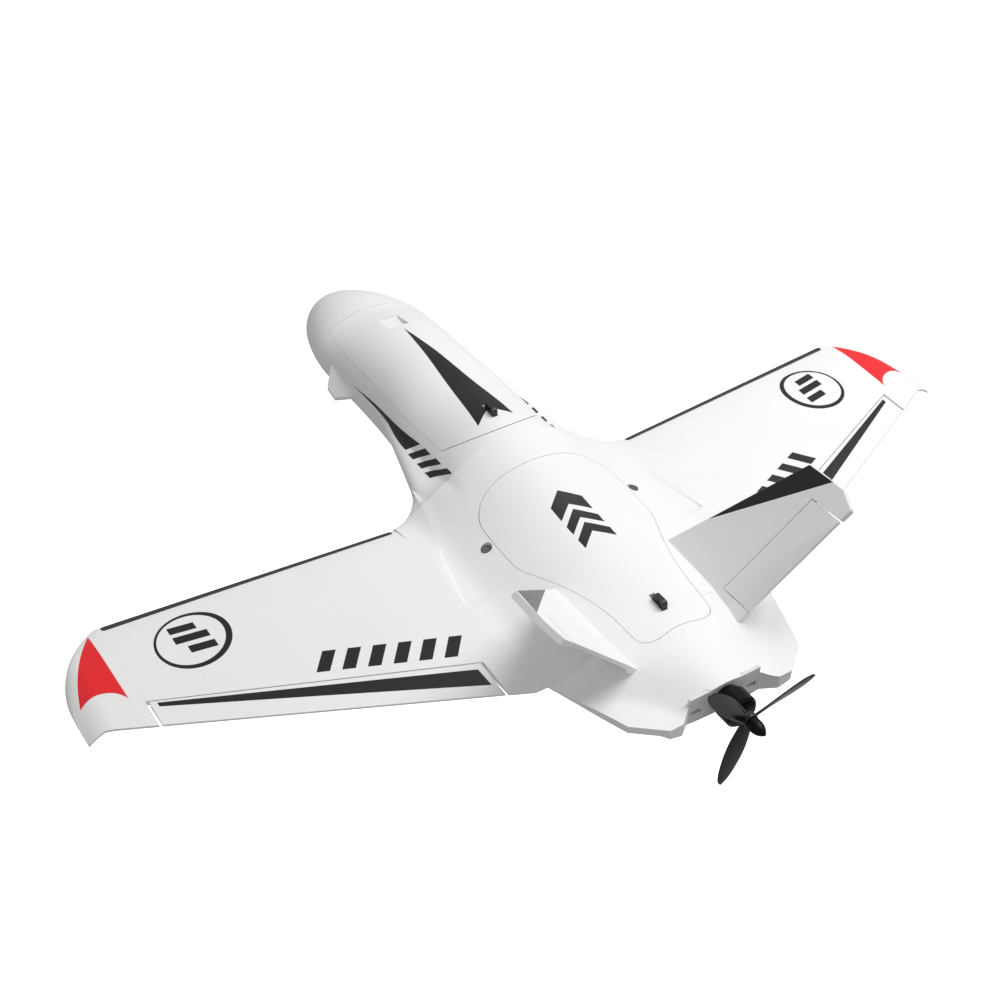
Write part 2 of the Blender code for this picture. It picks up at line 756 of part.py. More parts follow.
def add_fuselage(parts, cutters):
    body = add_object("fuselage", body_mesh("fuselage"), parts, "foam")
    cuts = []
    cuts += hatch_cuts(cutters)
    cuts += bay_cuts(cutters)
    cuts += motor_bay_cuts(cutters)
    cuts += spar_cuts(cutters, "body", -ROOT_X - CUT_OVERRUN, ROOT_X + CUT_OVERRUN)
    for side_name, side in SIDES:
        cuts.append(cutter(f"fin_slot_{side_name}", fin_mesh("fin_slot", side, MESH_GAP), cutters))
        cuts.append(lock_cut(side_name, side, cutters))
        seat = fairing_mesh("fairing_slot", side, MESH_GAP * 2)
        cuts.append(cutter(f"fairing_slot_{side_name}", seat, cutters))
    cuts.append(cutter("mount_seat", mount_plate_mesh("mount_seat", MESH_GAP), cutters))
    add_boolean(body, cuts)
    return body


def hatch_cuts(cutters):
    """Room for both hatches: their prisms, larger by the seam's gap."""
    front = front_hatch_form("front_hatch_room", HATCH_GAP)
    outline = rear_hatch_outline(HATCH_GAP)
    rear = prism_mesh("rear_hatch_room", outline, REAR_HATCH_PART_Z - HATCH_GAP, CEILING)
    return [cutter("front_hatch_room", front, cutters), cutter("rear_hatch_room", rear, cutters)]


def bay_cuts(cutters):
    """The battery bay, the avionics bay and the wire channels that join them to the motor bay."""
    made = []
    for name, (half, start, end), floor, top in (
        ("battery_bay", BATTERY_BAY, BATTERY_BAY_FLOOR_Z, FRONT_HATCH_PART_Z + CUT_OVERRUN),
        ("avionics_bay", AVIONICS_BAY, BAY_FLOOR_Z, REAR_HATCH_PART_Z + CUT_OVERRUN),
    ):
        mesh = box_mesh(name, (-half, start, floor), (half, end, top))
        made.append(cutter(name, mesh, cutters))
    for name, start, end in (
        ("front_channel", BATTERY_BAY[2] - 0.005, AVIONICS_BAY[1] + 0.005),
        ("rear_channel", AVIONICS_BAY[2] - 0.005, NOTCH_Y + CUT_OVERRUN),
    ):
        low = (-WIRE_CHANNEL_HALF_WIDTH, start, WING_PLANE_Z - WIRE_CHANNEL_HEIGHT / 2)
        high = (WIRE_CHANNEL_HALF_WIDTH, end, WING_PLANE_Z + WIRE_CHANNEL_HEIGHT / 2)
        made.append(cutter(name, box_mesh(name, low, high), cutters))
    return made


def motor_bay_cuts(cutters):
    """The notch between the tail lobes, open aft, above and below."""
    slant = (NOTCH_OUTER_X - NOTCH_INNER_X) / (BODY_END - NOTCH_Y)
    wide = NOTCH_OUTER_X + slant * CUT_OVERRUN
    past = BODY_END + CUT_OVERRUN
    outline = [(-wide, past), (-NOTCH_INNER_X, NOTCH_Y), (NOTCH_INNER_X, NOTCH_Y), (wide, past)]
    return [cutter("tail_notch", prism_mesh("tail_notch", outline, -CEILING, CEILING), cutters)]


def add_front_hatch(parts, cutters):
    """The nose hatch: the body's own outer form above the parting plane, hollowed from below."""
    hatch = add_object("front_hatch", body_mesh("front_hatch"), parts, "foam")
    keep = front_hatch_form("front_hatch_form")
    add_boolean(hatch, [cutter("front_hatch_form", keep, cutters)], "INTERSECT")
    cuts = [
        hatch_pocket("front_hatch_pocket", BATTERY_BAY, FRONT_HATCH_PART_Z, cutters),
        latch_slot("front_latch_slot", FRONT_LATCH_Y, cutters),
        intake_cut(cutters),
    ]
    add_boolean(hatch, cuts)
    return hatch


def hatch_pocket(name, bay, part_z, cutters):
    """The hollow in a hatch's lower face, inside the rim that stands on the bay's edges."""
    half, start, end = bay
    low = (-half + HATCH_POCKET_RIM, start + 3 * HATCH_POCKET_RIM, part_z - CUT_OVERRUN)
    high = (half - HATCH_POCKET_RIM, end - HATCH_POCKET_RIM, part_z + HATCH_POCKET_DEPTH)
    return cutter(name, box_mesh(name, low, high), cutters)


def intake_cut(cutters):
    """The cooling intake: a ramp that falls aft into the nose hatch, between upright walls."""
    outline = [
        (INTAKE_FRONT_Y, top_height(INTAKE_FRONT_Y) - INTAKE_LIP),
        (INTAKE_REAR_Y, top_height(INTAKE_REAR_Y) - INTAKE_DEPTH),
        (INTAKE_REAR_Y, CEILING), (INTAKE_FRONT_Y, CEILING),
    ]
    mesh = prism_mesh("intake_ramp", outline, -INTAKE_HALF_WIDTH, INTAKE_HALF_WIDTH, UPRIGHT)
    return cutter("intake_ramp", mesh, cutters)


def add_rear_hatch(parts, cutters):
    """The rear hatch, which lifts off over the avionics bay."""
    hatch = add_object("rear_hatch", body_mesh("rear_hatch"), parts, "foam")
    keep = prism_mesh("rear_hatch_form", rear_hatch_outline(), REAR_HATCH_PART_Z, CEILING)
    add_boolean(hatch, [cutter("rear_hatch_form", keep, cutters)], "INTERSECT")
    cuts = [
        hatch_pocket("rear_hatch_pocket", AVIONICS_BAY, REAR_HATCH_PART_Z, cutters),
        latch_slot("rear_latch_slot", REAR_LATCH_Y, cutters),
    ]
    add_boolean(hatch, cuts)
    return hatch


def latch_slot(name, y, cutters):
    """The slot that a latch tab's shank runs in, longer than the shank by the tab's travel."""
    half = LATCH_WIDTH / 2 + LATCH_CLEARANCE
    start = y - LATCH_LENGTH / 2 - LATCH_CLEARANCE - LATCH_TRAVEL
    end = y + LATCH_LENGTH / 2 + LATCH_CLEARANCE
    floor = top_height(y) - LATCH_SINK - LATCH_FLOOR_CLEARANCE
    return cutter(name, box_mesh(name, (-half, start, floor), (half, end, CEILING)), cutters)


def add_latch(name, y, parts, cutters):
    """An upright black tab with rounded upper corners and a finger hole, sunk in the hatch."""
    low = top_height(y) - LATCH_SINK
    high = top_height(y) + LATCH_HEIGHT
    half = LATCH_LENGTH / 2
    corner = LATCH_CORNER
    outline = [(y - half, low), (y + half, low)]
    for centre, start in ((y + half - corner, 0), (y - half + corner, 90)):
        outline += arc((centre, high - corner), corner, start, start + 90, 5)
    mesh = prism_mesh(name, outline, -LATCH_WIDTH / 2, LATCH_WIDTH / 2, UPRIGHT)
    obj = add_object(name, mesh, parts, "black_plastic")
    middle = high - LATCH_HEIGHT / 2
    ends = [(x, y, middle) for x in (-LATCH_WIDTH, LATCH_WIDTH)]
    hole = cylinder_mesh(f"{name}_hole", LATCH_HOLE_RADIUS, *ends, 16)
    add_boolean(obj, [cutter(f"{name}_hole", hole, cutters)])
    return obj


def panel_rib_xs():
    """Where the wing panel's ribs stand, closer together towards the raked tip."""
    straight = list(np.linspace(ROOT_X + MESH_GAP, RAKE_START_X, WING_RIBS))
    return straight + [RAKE_START_X + TIP_RAKE_LENGTH * share for share in (0.3, 0.55, 0.78, 0.92, 1.0)]


def wing_mesh(name):
    """The wing panel's outer form, from its root rib to the drooped tip."""
    return loft_mesh(name, [rib_ring(x) for x in panel_rib_xs()])


def add_wing_panel(side_name, side, parts, cutters):
    name = f"wing_panel_{side_name}"
    panel = add_object(name, mirrored(wing_mesh(name), side), parts, "foam")
    spar_ends = sorted((side * (ROOT_X - CUT_OVERRUN), side * HALF_SPAN))
    cuts = [elevon_notch(side_name, side, cutters), servo_pocket(side_name, side, cutters)]
    cuts += spar_cuts(cutters, f"wing_{side_name}", *spar_ends)
    add_boolean(panel, cuts)
    return panel


def elevon_notch(side_name, side, cutters):
    """The piece of the wing behind the hinge line that the elevon takes the place of."""
    ends = (ELEVON_INNER_X - ELEVON_END_GAP, ELEVON_OUTER_X + ELEVON_END_GAP)
    outline = [(x * side, hinge_y(x) - ELEVON_GAP / 2) for x in ends]
    outline += [(x * side, hinge_y(x) + NOTCH_REACH) for x in reversed(ends)]
    name = f"elevon_notch_{side_name}"
    return cutter(name, prism_mesh(name, outline, -CEILING, CEILING), cutters)


def surface_mesh(name, ends, bevel, gap):
    """A control surface between two ends, each given by its hinge point, tail point and depths.

    Its front face leans aft from the hinge line, so that it clears its neighbour as it turns.
    """
    down = Vector((0, 0, -1))
    rings = []
    for hinge, tail, front_depth, tail_depth in ends:
        aft = (tail - hinge).normalized()
        top_front = hinge + aft * (gap / 2)
        low_front = top_front + down * front_depth + aft * (front_depth * math.tan(bevel))
        rings.append([top_front, tail, tail + down * tail_depth, low_front])
    mesh = loft_mesh(name, rings)
    mesh.shade_flat()
    return mesh


def elevon_end(x):
    hinge = elevon_hinge_point(x)
    y = trailing_edge_y(x)
    low, high = wing_heights(x, y)
    hinge_low, hinge_high = wing_heights(x, hinge_y(x))
    return hinge, Vector((x, y, high)), hinge_high - hinge_low, high - low


def add_elevon(side_name, side, parts):
    name = f"elevon_{side_name}"
    ends = [elevon_end(x) for x in (ELEVON_INNER_X, ELEVON_OUTER_X)]
    mesh = surface_mesh(name, ends, ELEVON_BEVEL, ELEVON_GAP)
    elevon = add_object(name, mirrored(mesh, side), parts, "foam")
    hinge = elevon_hinge_point(LINKAGE_X)
    set_origin(elevon, (hinge.x * side, hinge.y, hinge.z))
    return elevon


def add_leading_edge_strip(side_name, side, parts):
    """A thin dark strip bonded on the wing's upper surface just behind the leading edge."""
    name = f"leading_edge_strip_{side_name}"
    rings = []
    inside = [x for x in panel_rib_xs() if STRIP_INNER_X < x < STRIP_OUTER_X]
    for x in [STRIP_INNER_X] + inside + [STRIP_OUTER_X]:
        front = leading_edge_y(x) + STRIP_SETBACK
        ys = [front, front + STRIP_WIDTH / 2, front + STRIP_WIDTH]
        lower = [Vector((x, y, chordal_height(x, y) + STRIP_LIFT)) for y in ys]
        upper = [point + Vector((0, 0, STRIP_THICKNESS)) for point in lower]
        rings.append(lower + upper[::-1])
    mesh = loft_mesh(name, rings)
    mesh.shade_flat()
    return add_object(name, mirrored(mesh, side), parts, "black_plastic")


def chordal_height(x, y):
    """Height of the faceted wing's upper surface, which runs straight between the ribs' points."""
    ring = rib_ring(x)[: RIB_POINTS + 1]
    return float(np.interp(y, [point.y for point in ring], [point.z for point in ring]))


def fin_place(side):
    """Matrix from fin coordinates (along the span, aft, out of the inner face) to the frame."""
    along = Vector((math.cos(FIN_CANT), 0, math.sin(FIN_CANT)))
    inward = Vector((-math.sin(FIN_CANT), 0, math.cos(FIN_CANT)))
    place = Matrix(
        (
            (along.x, 0, inward.x, FIN_BASE_X),
            (0, 1, 0, 0),
            (along.z, 0, inward.z, FIN_BASE_Z),
            (0, 0, 0, 1),
        )
    )
    if side == STARBOARD_SIDE:
        return Matrix.Scale(-1, 4, Vector((1, 0, 0))) @ place
    return place


def fin_outline(grow=0.0):
    outline = [
        (-FIN_ROOT_SINK, FIN_ROOT_LE_Y), (FIN_TIP_SPAN, FIN_TIP_LE_Y),
        (FIN_TIP_SPAN, FIN_TIP_KINK_Y), (FIN_SHOULDER_SPAN, FIN_SHOULDER_Y),
        (FIN_LOW_TE_SPAN, FIN_ROOT_TE_Y), (-FIN_ROOT_SINK - FIN_LE_SINK, FIN_ROOT_LE_Y + 0.015),
    ]
    return grown(outline, grow)


def fin_mesh(name, side, grow=0.0):
    """The fin's plate, larger by grow all round where it is the slot that it stands in."""
    return prism_mesh(name, fin_outline(grow), -FIN_THICKNESS - grow, grow, fin_place(side))


def rudder_hinge_y(span):
    share = (span - RUDDER_INNER_SPAN) / (RUDDER_OUTER_SPAN - RUDDER_INNER_SPAN)
    return RUDDER_INNER_HINGE_Y + (RUDDER_OUTER_HINGE_Y - RUDDER_INNER_HINGE_Y) * share


def fin_trailing_y(span):
    """The fin's own trailing edge at a place along its span."""
    share = (span - FIN_LOW_TE_SPAN) / (FIN_SHOULDER_SPAN - FIN_LOW_TE_SPAN)
    return FIN_ROOT_TE_Y + (FIN_SHOULDER_Y - FIN_ROOT_TE_Y) * share


def add_fin(side_name, side, parts, cutters):
    name = f"fin_{side_name}"
    fin = add_object(name, fin_mesh(name, side), parts, "foam")
    spans = (RUDDER_INNER_SPAN - RUDDER_END_GAP, RUDDER_OUTER_SPAN + RUDDER_END_GAP)
    outline = [(span, rudder_hinge_y(span) - RUDDER_GAP / 2) for span in spans]
    outline += [(span, rudder_hinge_y(span) + NOTCH_REACH) for span in reversed(spans)]
    notch = prism_mesh("rudder_notch", outline, -NOTCH_REACH, NOTCH_REACH, fin_place(side))
    add_boolean(fin, [cutter(f"rudder_notch_{side_name}", notch, cutters)])
    return fin


def rudder_end(span):
    hinge = Vector((span, rudder_hinge_y(span), 0))
    tail = Vector((span, fin_trailing_y(span), 0))
    return hinge, tail, FIN_THICKNESS, FIN_THICKNESS * RUDDER_TAIL_SHARE


def add_rudder(side_name, side, parts):
    name = f"rudder_{side_name}"
    ends = [rudder_end(span) for span in (RUDDER_INNER_SPAN, RUDDER_OUTER_SPAN)]
    mesh = surface_mesh(name, ends, RUDDER_BEVEL, RUDDER_GAP)
    mesh.transform(fin_place(side))
    if side == STARBOARD_SIDE:
        mesh.flip_normals()
    rudder = add_object(name, mesh, parts, "foam")
    middle = (RUDDER_INNER_SPAN + RUDDER_OUTER_SPAN) / 2
    set_origin(rudder, fin_place(side) @ Vector((middle, rudder_hinge_y(middle), 0)))
    return rudder


def spar_cuts(cutters, place, start, end):
    """Straight bores for both spars between two places along the span."""
    made = []
    for name, y, radius, half_length in (
        ("main", MAIN_SPAR_Y, MAIN_SPAR_RADIUS, MAIN_SPAR_HALF_LENGTH),
        ("rear", REAR_SPAR_Y, REAR_SPAR_RADIUS, REAR_SPAR_HALF_LENGTH),
    ):
        limit = half_length + SPAR_END_CLEARANCE
        low = max(start, -limit)
        high = min(end, limit)
        z = spar_z(y)
        bore_name = f"{name}_spar_bore_{place}"
        mesh = cylinder_mesh(bore_name, radius + SPAR_CLEARANCE, (low, y, z), (high, y, z), 16)
        made.append(cutter(bore_name, mesh, cutters))
    return made


def spar_z(y):
    """Both spars run midway between the wing's surfaces at the root."""
    return sum(wing_heights(ROOT_X, y)) / 2


def add_spars(parts, cutters):
    for name, y, radius, bore, half_length in (
        ("main_spar", MAIN_SPAR_Y, MAIN_SPAR_RADIUS, MAIN_SPAR_BORE, MAIN_SPAR_HALF_LENGTH),
        ("rear_spar", REAR_SPAR_Y, REAR_SPAR_RADIUS, REAR_SPAR_BORE, REAR_SPAR_HALF_LENGTH),
    ):
        z = spar_z(y)
        mesh = cylinder_mesh(name, radius, (-half_length, y, z), (half_length, y, z), 16)
        tube = add_object(name, mesh, parts, "carbon")
        past = half_length + CUT_OVERRUN
        inside = cylinder_mesh(f"{name}_inside", bore, (-past, y, z), (past, y, z), 16)
        add_boolean(tube, [cutter(f"{name}_inside", inside, cutters)])


def lock_mesh(name, side, radius, depth, height):
    """An upright cylinder at a spar lock's place, from below the body's surface to above it."""
    x = LOCK_X * side
    top = body_heights(x, MAIN_SPAR_Y)[1]
    ends = [(x, MAIN_SPAR_Y, top + reach) for reach in (-depth, height)]
    return cylinder_mesh(name, radius, *ends, 24)


def lock_cut(side_name, side, cutters):
    """The hole that a spar lock's cap sits in."""
    name = f"lock_hole_{side_name}"
    depth = LOCK_SINK + LOCK_HEAD_HEIGHT + LOCK_SEAT_DEPTH
    mesh = lock_mesh(name, side, LOCK_HEAD_RADIUS + MESH_GAP, depth, CUT_OVERRUN)
    return cutter(name, mesh, cutters)


def add_lock_screw(side_name, side, parts):
    """The grey cap of a spar lock, a little below the body's shoulder."""
    name = f"spar_lock_{side_name}"
    mesh = lock_mesh(name, side, LOCK_HEAD_RADIUS, LOCK_SINK + LOCK_HEAD_HEIGHT, -LOCK_SINK)
    return add_object(name, mesh, parts, "grey_plastic")


def fairing_mesh(name, side, grow=0.0):
    """A small plate on the hull's side, a trapezoid in plan, that falls outwards and aft."""
    root = body_half_width(FAIRING_FRONT_Y)
    outline = [
        (root - FAIRING_EMBED, FAIRING_FRONT_Y), (root, FAIRING_FRONT_Y),
        (root + FAIRING_REACH, FAIRING_OUTER_FRONT_Y), (root + FAIRING_REACH, FAIRING_OUTER_REAR_Y),
        (root, FAIRING_REAR_Y), (root - FAIRING_EMBED, FAIRING_REAR_Y),
    ]
    level = FAIRING_TOP_Z + FAIRING_FALL_OUT * root + FAIRING_FALL_AFT * FAIRING_FRONT_Y
    fall = (-FAIRING_FALL_OUT, -FAIRING_FALL_AFT, 1, level)
    place = Matrix(((1, 0, 0, 0), (0, 1, 0, 0), fall, (0, 0, 0, 1)))
    mesh = prism_mesh(name, grown(outline, grow), -FAIRING_THICKNESS - grow, grow, place)
    return mirrored(mesh, side)


def add_fairing(side_name, side, parts):
    name = f"side_fairing_{side_name}"
    return add_object(name, fairing_mesh(name, side), parts, "foam")


# ---- motor and propeller -------------------------------------------------------------------
MOUNT_FRONT_Y = NOTCH_Y - MOUNT_THICKNESS
STATOR_Y = NOTCH_Y + MESH_GAP
BELL_Y = STATOR_Y + STATOR_LENGTH + RUNNING_CLEARANCE
HUB_Y = BELL_Y + BELL_LENGTH + COLLAR_LENGTH + MESH_GAP
NUT_Y = HUB_Y + PROPELLER_HUB_LENGTH + MESH_GAP


def mount_plate_mesh(name, grow=0.0):
    """The motor mount: a plate across the tail notch, as tall as the body there allows."""
    half = MOUNT_HALF_WIDTH + grow
    tall = MOUNT_HALF_HEIGHT + grow
    z = MOTOR_AXIS_Z
    aft = NOTCH_Y + (CUT_OVERRUN if grow else 0.0)
    return box_mesh(name, (-half, MOUNT_FRONT_Y - grow, z - tall), (half, aft, z + tall))


def add_motor_mount(parts, cutters):
    plate = add_object("motor_mount", mount_plate_mesh("motor_mount"), parts, "white_plastic")
    vents = []
    for side_name, side in SIDES:
        name = f"mount_vent_{side_name}"
        centre = (VENT_X * side, NOTCH_Y, MOTOR_AXIS_Z + VENT_RISE)
        size = (VENT_WIDTH, CUT_OVERRUN + MOUNT_THICKNESS, VENT_HEIGHT)
        vents.append(cutter(name, centred_box(name, centre, size), cutters))
    ends = [(0, y, MOTOR_AXIS_Z) for y in (MOUNT_FRONT_Y - CUT_OVERRUN, NOTCH_Y + CUT_OVERRUN)]
    hole = cylinder_mesh("mount_wire_hole", MOUNT_HOLE_RADIUS, *ends, 16)
    vents.append(cutter("mount_wire_hole", hole, cutters))
    add_boolean(plate, vents)
    return plate


def at_motor(obj, y):
    obj.location = (0.0, y, MOTOR_AXIS_Z)
    return obj


def add_motor(parts):
    """The stator base on its plate, and the bell with its shaft, which turn together."""
    bore = SHAFT_RADIUS + RUNNING_CLEARANCE
    base = STATOR_LENGTH
    core = BELL_RADIUS - BELL_WALL - BELL_CLEARANCE
    depth = BELL_LENGTH * 0.55
    stator = [
        (bore, 0.0), (STATOR_RADIUS, 0.0), (STATOR_RADIUS + 0.002, base - 0.001),
        (core, base), (core, base + depth), (bore, base + depth), (bore, 0.0),
    ]
    at_motor(turned_object("motor_stator", stator, "motor_metal", parts), STATOR_Y)
    hollow = BELL_RADIUS - BELL_WALL
    inner_depth = depth + 2 * RUNNING_CLEARANCE
    end = BELL_LENGTH + SHAFT_LENGTH
    bell = [
        (0.0, -base * 0.5), (SHAFT_RADIUS, -base * 0.5), (SHAFT_RADIUS, inner_depth),
        (hollow, inner_depth), (hollow, 0.0), (BELL_RADIUS, 0.0), (BELL_RADIUS, BELL_LENGTH - 0.002),
        (BELL_RADIUS - 0.002, BELL_LENGTH), (COLLAR_RADIUS, BELL_LENGTH),
        (COLLAR_RADIUS, BELL_LENGTH + COLLAR_LENGTH), (SHAFT_RADIUS, BELL_LENGTH + COLLAR_LENGTH),
        (SHAFT_RADIUS, end), (0.0, end),
    ]
    at_motor(turned_object("motor_bell", bell, "motor_metal", parts), BELL_Y)


def blade_ring(share, angle):
    """The closed section of a blade at a share of its length, turned to its pitch."""
    start = PROPELLER_HUB_RADIUS * BLADE_ROOT_SHARE
    radius = start + (PROPELLER_RADIUS - start) * share
    chord = BLADE_CHORD * float(np.interp(share, *zip(*BLADE_CHORD_SHARES)))
    thickness = BLADE_THICKNESS * (1 - BLADE_THINNING * share)
    pitch = BLADE_PITCH_ROOT + (BLADE_PITCH_TIP - BLADE_PITCH_ROOT) * share ** BLADE_PITCH_POWER
    out = Vector((math.cos(angle), 0, math.sin(angle)))
    round_way = Vector((-math.sin(angle), 0, math.cos(angle)))
    aft = Vector((0, 1, 0))
    ring = []
    for along, across in BLADE_SECTION:
        u = along * chord
        v = across * thickness
        ring.append(
            out * radius
            + round_way * (u * math.cos(pitch) - v * math.sin(pitch))
            + aft * (u * math.sin(pitch) + v * math.cos(pitch))
        )
    return ring


def add_propeller(parts, cutters):
    """The hub with three twisted blades, one solid, bored for the shaft."""
    ends = [(0, 0, 0), (0, PROPELLER_HUB_LENGTH, 0)]
    hub = cylinder_mesh("propeller", PROPELLER_HUB_RADIUS, *ends, 24)
    obj = add_object("propeller", hub, parts, "gloss_black")
    blades = []
    middle = Vector((0, PROPELLER_HUB_LENGTH / 2, 0))
    for index in range(PROPELLER_BLADES):
        angle = PROPELLER_PHASE + 2 * math.pi * index / PROPELLER_BLADES
        rings = [blade_ring(i / (BLADE_STATIONS - 1), angle) for i in range(BLADE_STATIONS)]
        rings = [[point + middle for point in ring] for ring in rings]
        blades.append(cutter(f"blade_{index}", loft_mesh(f"blade_{index}", rings), cutters))
    ends = [(0, -CUT_OVERRUN, 0), (0, PROPELLER_HUB_LENGTH + CUT_OVERRUN, 0)]
    bore = cylinder_mesh("propeller_bore", SHAFT_RADIUS + MESH_GAP, *ends, 24)
    bore_cutter = cutter("propeller_bore", bore, cutters)
    for helper in blades + [bore_cutter]:
        at_motor(helper, HUB_Y)
    at_motor(obj, HUB_Y)
    add_boolean(obj, blades, "UNION")
    add_boolean(obj, [bore_cutter])
    return obj


def add_propeller_nut(parts):
    """The pointed nut that clamps the propeller, bored for the shaft's end."""
    bore = SHAFT_RADIUS + MESH_GAP
    inside = BELL_Y + BELL_LENGTH + SHAFT_LENGTH - NUT_Y + MESH_GAP
    straight = NUT_LENGTH * NUT_STRAIGHT_SHARE
    taper = NUT_LENGTH - straight
    curve = [
        (NUT_RADIUS * math.cos(math.pi / 2 * share) ** NUT_ROUNDING, straight + taper * share)
        for share in (0.0, 0.25, 0.5, 0.75)
    ]
    profile = [(0.0, inside), (bore, inside), (bore, 0.0), (NUT_RADIUS, 0.0)]
    profile += curve + [(0.0, NUT_LENGTH)]
    at_motor(turned_object("propeller_nut", profile, "motor_metal", parts), NUT_Y)


# ---- elevon linkages -----------------------------------------------------------------------
def linkage_place(side):
    """Matrix from linkage coordinates (along the hinge, square to it, up) to the frame."""
    ends = [elevon_hinge_point(x) for x in (ELEVON_INNER_X, ELEVON_OUTER_X)]
    along = (ends[1] - ends[0]).normalized()
    aft = Vector((-along.y, along.x, 0)).normalized()
    up = along.cross(aft).normalized()
    origin = elevon_hinge_point(LINKAGE_X)
    place = Matrix(
        (
            (along.x, aft.x, up.x, origin.x),
            (along.y, aft.y, up.y, origin.y),
            (along.z, aft.z, up.z, origin.z),
            (0, 0, 0, 1),
        )
    )
    if side == STARBOARD_SIDE:
        return Matrix.Scale(-1, 4, Vector((1, 0, 0))) @ place
    return place


def placed(mesh, side):
    mesh.transform(linkage_place(side))
    if side == STARBOARD_SIDE:
        mesh.flip_normals()
    return mesh


def servo_bounds(grow=0.0):
    """Low and high corners of the servo, lying flat with its shaft along the hinge's direction."""
    wide, long, tall = SERVO_SIZE
    low_z = servo_floor()
    return (
        (-wide / 2 - grow, -SERVO_HINGE_DISTANCE - long / 2 - grow, low_z - grow),
        (wide / 2 + grow, -SERVO_HINGE_DISTANCE + long / 2 + grow, low_z + tall + grow),
    )


def servo_floor():
    """The servo's lowest face, in linkage coordinates, below the wing's lower surface."""
    centre = linkage_place(PORT_SIDE) @ Vector((0, -SERVO_HINGE_DISTANCE, 0))
    lower = wing_heights(centre.x, centre.y)[0]
    return lower - SERVO_REACH_BELOW - elevon_hinge_point(LINKAGE_X).z


def shaft_z():
    return servo_floor() + SERVO_SIZE[2] / 2


def servo_pocket(side_name, side, cutters):
    """The servo's pocket, open below, with a slot beside it that the arm swings in."""
    name = f"servo_pocket_{side_name}"
    low, high = servo_bounds(SERVO_CLEARANCE)
    low = (low[0], low[1], -CEILING)
    reach = SERVO_SIZE[0] / 2 + ARM_GAP * 2 + ARM_THICKNESS + 2 * ROD_GAP + 2 * ROD_RADIUS
    high = (reach, high[1], high[2])
    return cutter(name, placed(box_mesh(name, low, high), side), cutters)


def add_servo(side_name, side, parts):
    name = f"elevon_servo_{side_name}"
    low, high = servo_bounds()
    return add_object(name, placed(box_mesh(name, low, high, 0.0008), side), parts, "black_plastic")


def arm_x():
    """Inner face of the servo arm, along the hinge's direction."""
    return SERVO_SIZE[0] / 2 + ARM_GAP


def add_servo_arm(side_name, side, parts):
    """The servo's lever, hanging down from its shaft."""
    name = f"servo_arm_{side_name}"
    outline = arc((0.0, 0.0), ARM_BOSS_RADIUS, 90, 270, 7)
    outline += arc((ARM_RADIUS, 0.0), ARM_TIP_RADIUS, -90, 90, 7)
    hang = lever_matrix(arm_x(), -SERVO_HINGE_DISTANCE, shaft_z())
    mesh = placed(prism_mesh(name, outline, 0.0, ARM_THICKNESS, hang), side)
    arm = add_object(name, mesh, parts, "white_plastic")
    set_origin(arm, linkage_place(side) @ Vector((arm_x(), -SERVO_HINGE_DISTANCE, shaft_z())))
    return arm


def lever_matrix(x, y, z):
    """Turns an outline's length downwards, in a plane square to the hinge's direction."""
    return Matrix(((0, 0, 1, x), (0, 1, 0, y), (-1, 0, 0, z), (0, 0, 0, 1)))


def rod_x():
    return arm_x() + ARM_THICKNESS + ROD_GAP + ROD_RADIUS


def add_horn(side_name, side, parts):
    """The elevon's control horn, standing down from its lower face level with the servo arm."""
    name = f"elevon_horn_{side_name}"
    base_z = -horn_seat_depth() - MESH_GAP
    start = horn_start()
    outline = [(start, base_z), (start + HORN_BASE_LENGTH, base_z)]
    outline += arc((0.0, -HORN_DROP), HORN_TIP_RADIUS, -30, -200, 7)
    across = Matrix(((0, 0, 1, arm_x()), (1, 0, 0, 0), (0, 1, 0, 0), (0, 0, 0, 1)))
    mesh = placed(prism_mesh(name, outline, 0.0, HORN_THICKNESS, across), side)
    return add_object(name, mesh, parts, "white_plastic")


def horn_seat_depth():
    """How far the elevon's lower face lies under its hinge line where the horn stands."""
    x = LINKAGE_X
    low, high = wing_heights(x, hinge_y(x))
    return high - low


def horn_start():
    """Where the elevon's lower face begins behind the hinge line."""
    return horn_seat_depth() * math.tan(ELEVON_BEVEL) + 0.002


def add_pushrod(side_name, side, parts):
    """The wire between the servo arm and the horn, beside both."""
    name = f"elevon_pushrod_{side_name}"
    start = Vector((rod_x(), -SERVO_HINGE_DISTANCE - ROD_OVERRUN, shaft_z() - ARM_RADIUS))
    end = Vector((rod_x(), ROD_OVERRUN, -HORN_DROP))
    mesh = placed(cylinder_mesh(name, ROD_RADIUS, start, end, 10), side)
    return add_object(name, mesh, parts, "steel")


# ---- equipment -----------------------------------------------------------------------------
def add_equipment(parts):
    floor = BAY_FLOOR_Z + MESH_GAP
    tray_floor = BATTERY_BAY_FLOOR_Z + MESH_GAP
    tray_top = tray_floor + TRAY_THICKNESS
    half, start, end = BATTERY_BAY
    low = (-half + TRAY_MARGIN, start + TRAY_MARGIN, tray_floor)
    high = (half - TRAY_MARGIN, end - TRAY_MARGIN, tray_top)
    add_object("battery_tray", box_mesh("battery_tray", low, high), parts, "carbon")
    items = (
        ("battery", BATTERY_SIZE, BATTERY_Y, tray_top + MESH_GAP, "wrap", BATTERY_BEVEL),
        ("flight_controller", CONTROLLER_SIZE, CONTROLLER_Y, floor, "circuit", BOARD_BEVEL),
        ("receiver", RECEIVER_SIZE, RECEIVER_Y, floor, "circuit", BOARD_BEVEL),
        ("speed_controller", REGULATOR_SIZE, REGULATOR_Y, floor, "grey_plastic", BOARD_BEVEL),
    )
    for name, size, y, base, finish, bevel in items:
        centre = (0.0, y, base + size[2] / 2)
        add_object(name, centred_box(name, centre, size, bevel), parts, finish)


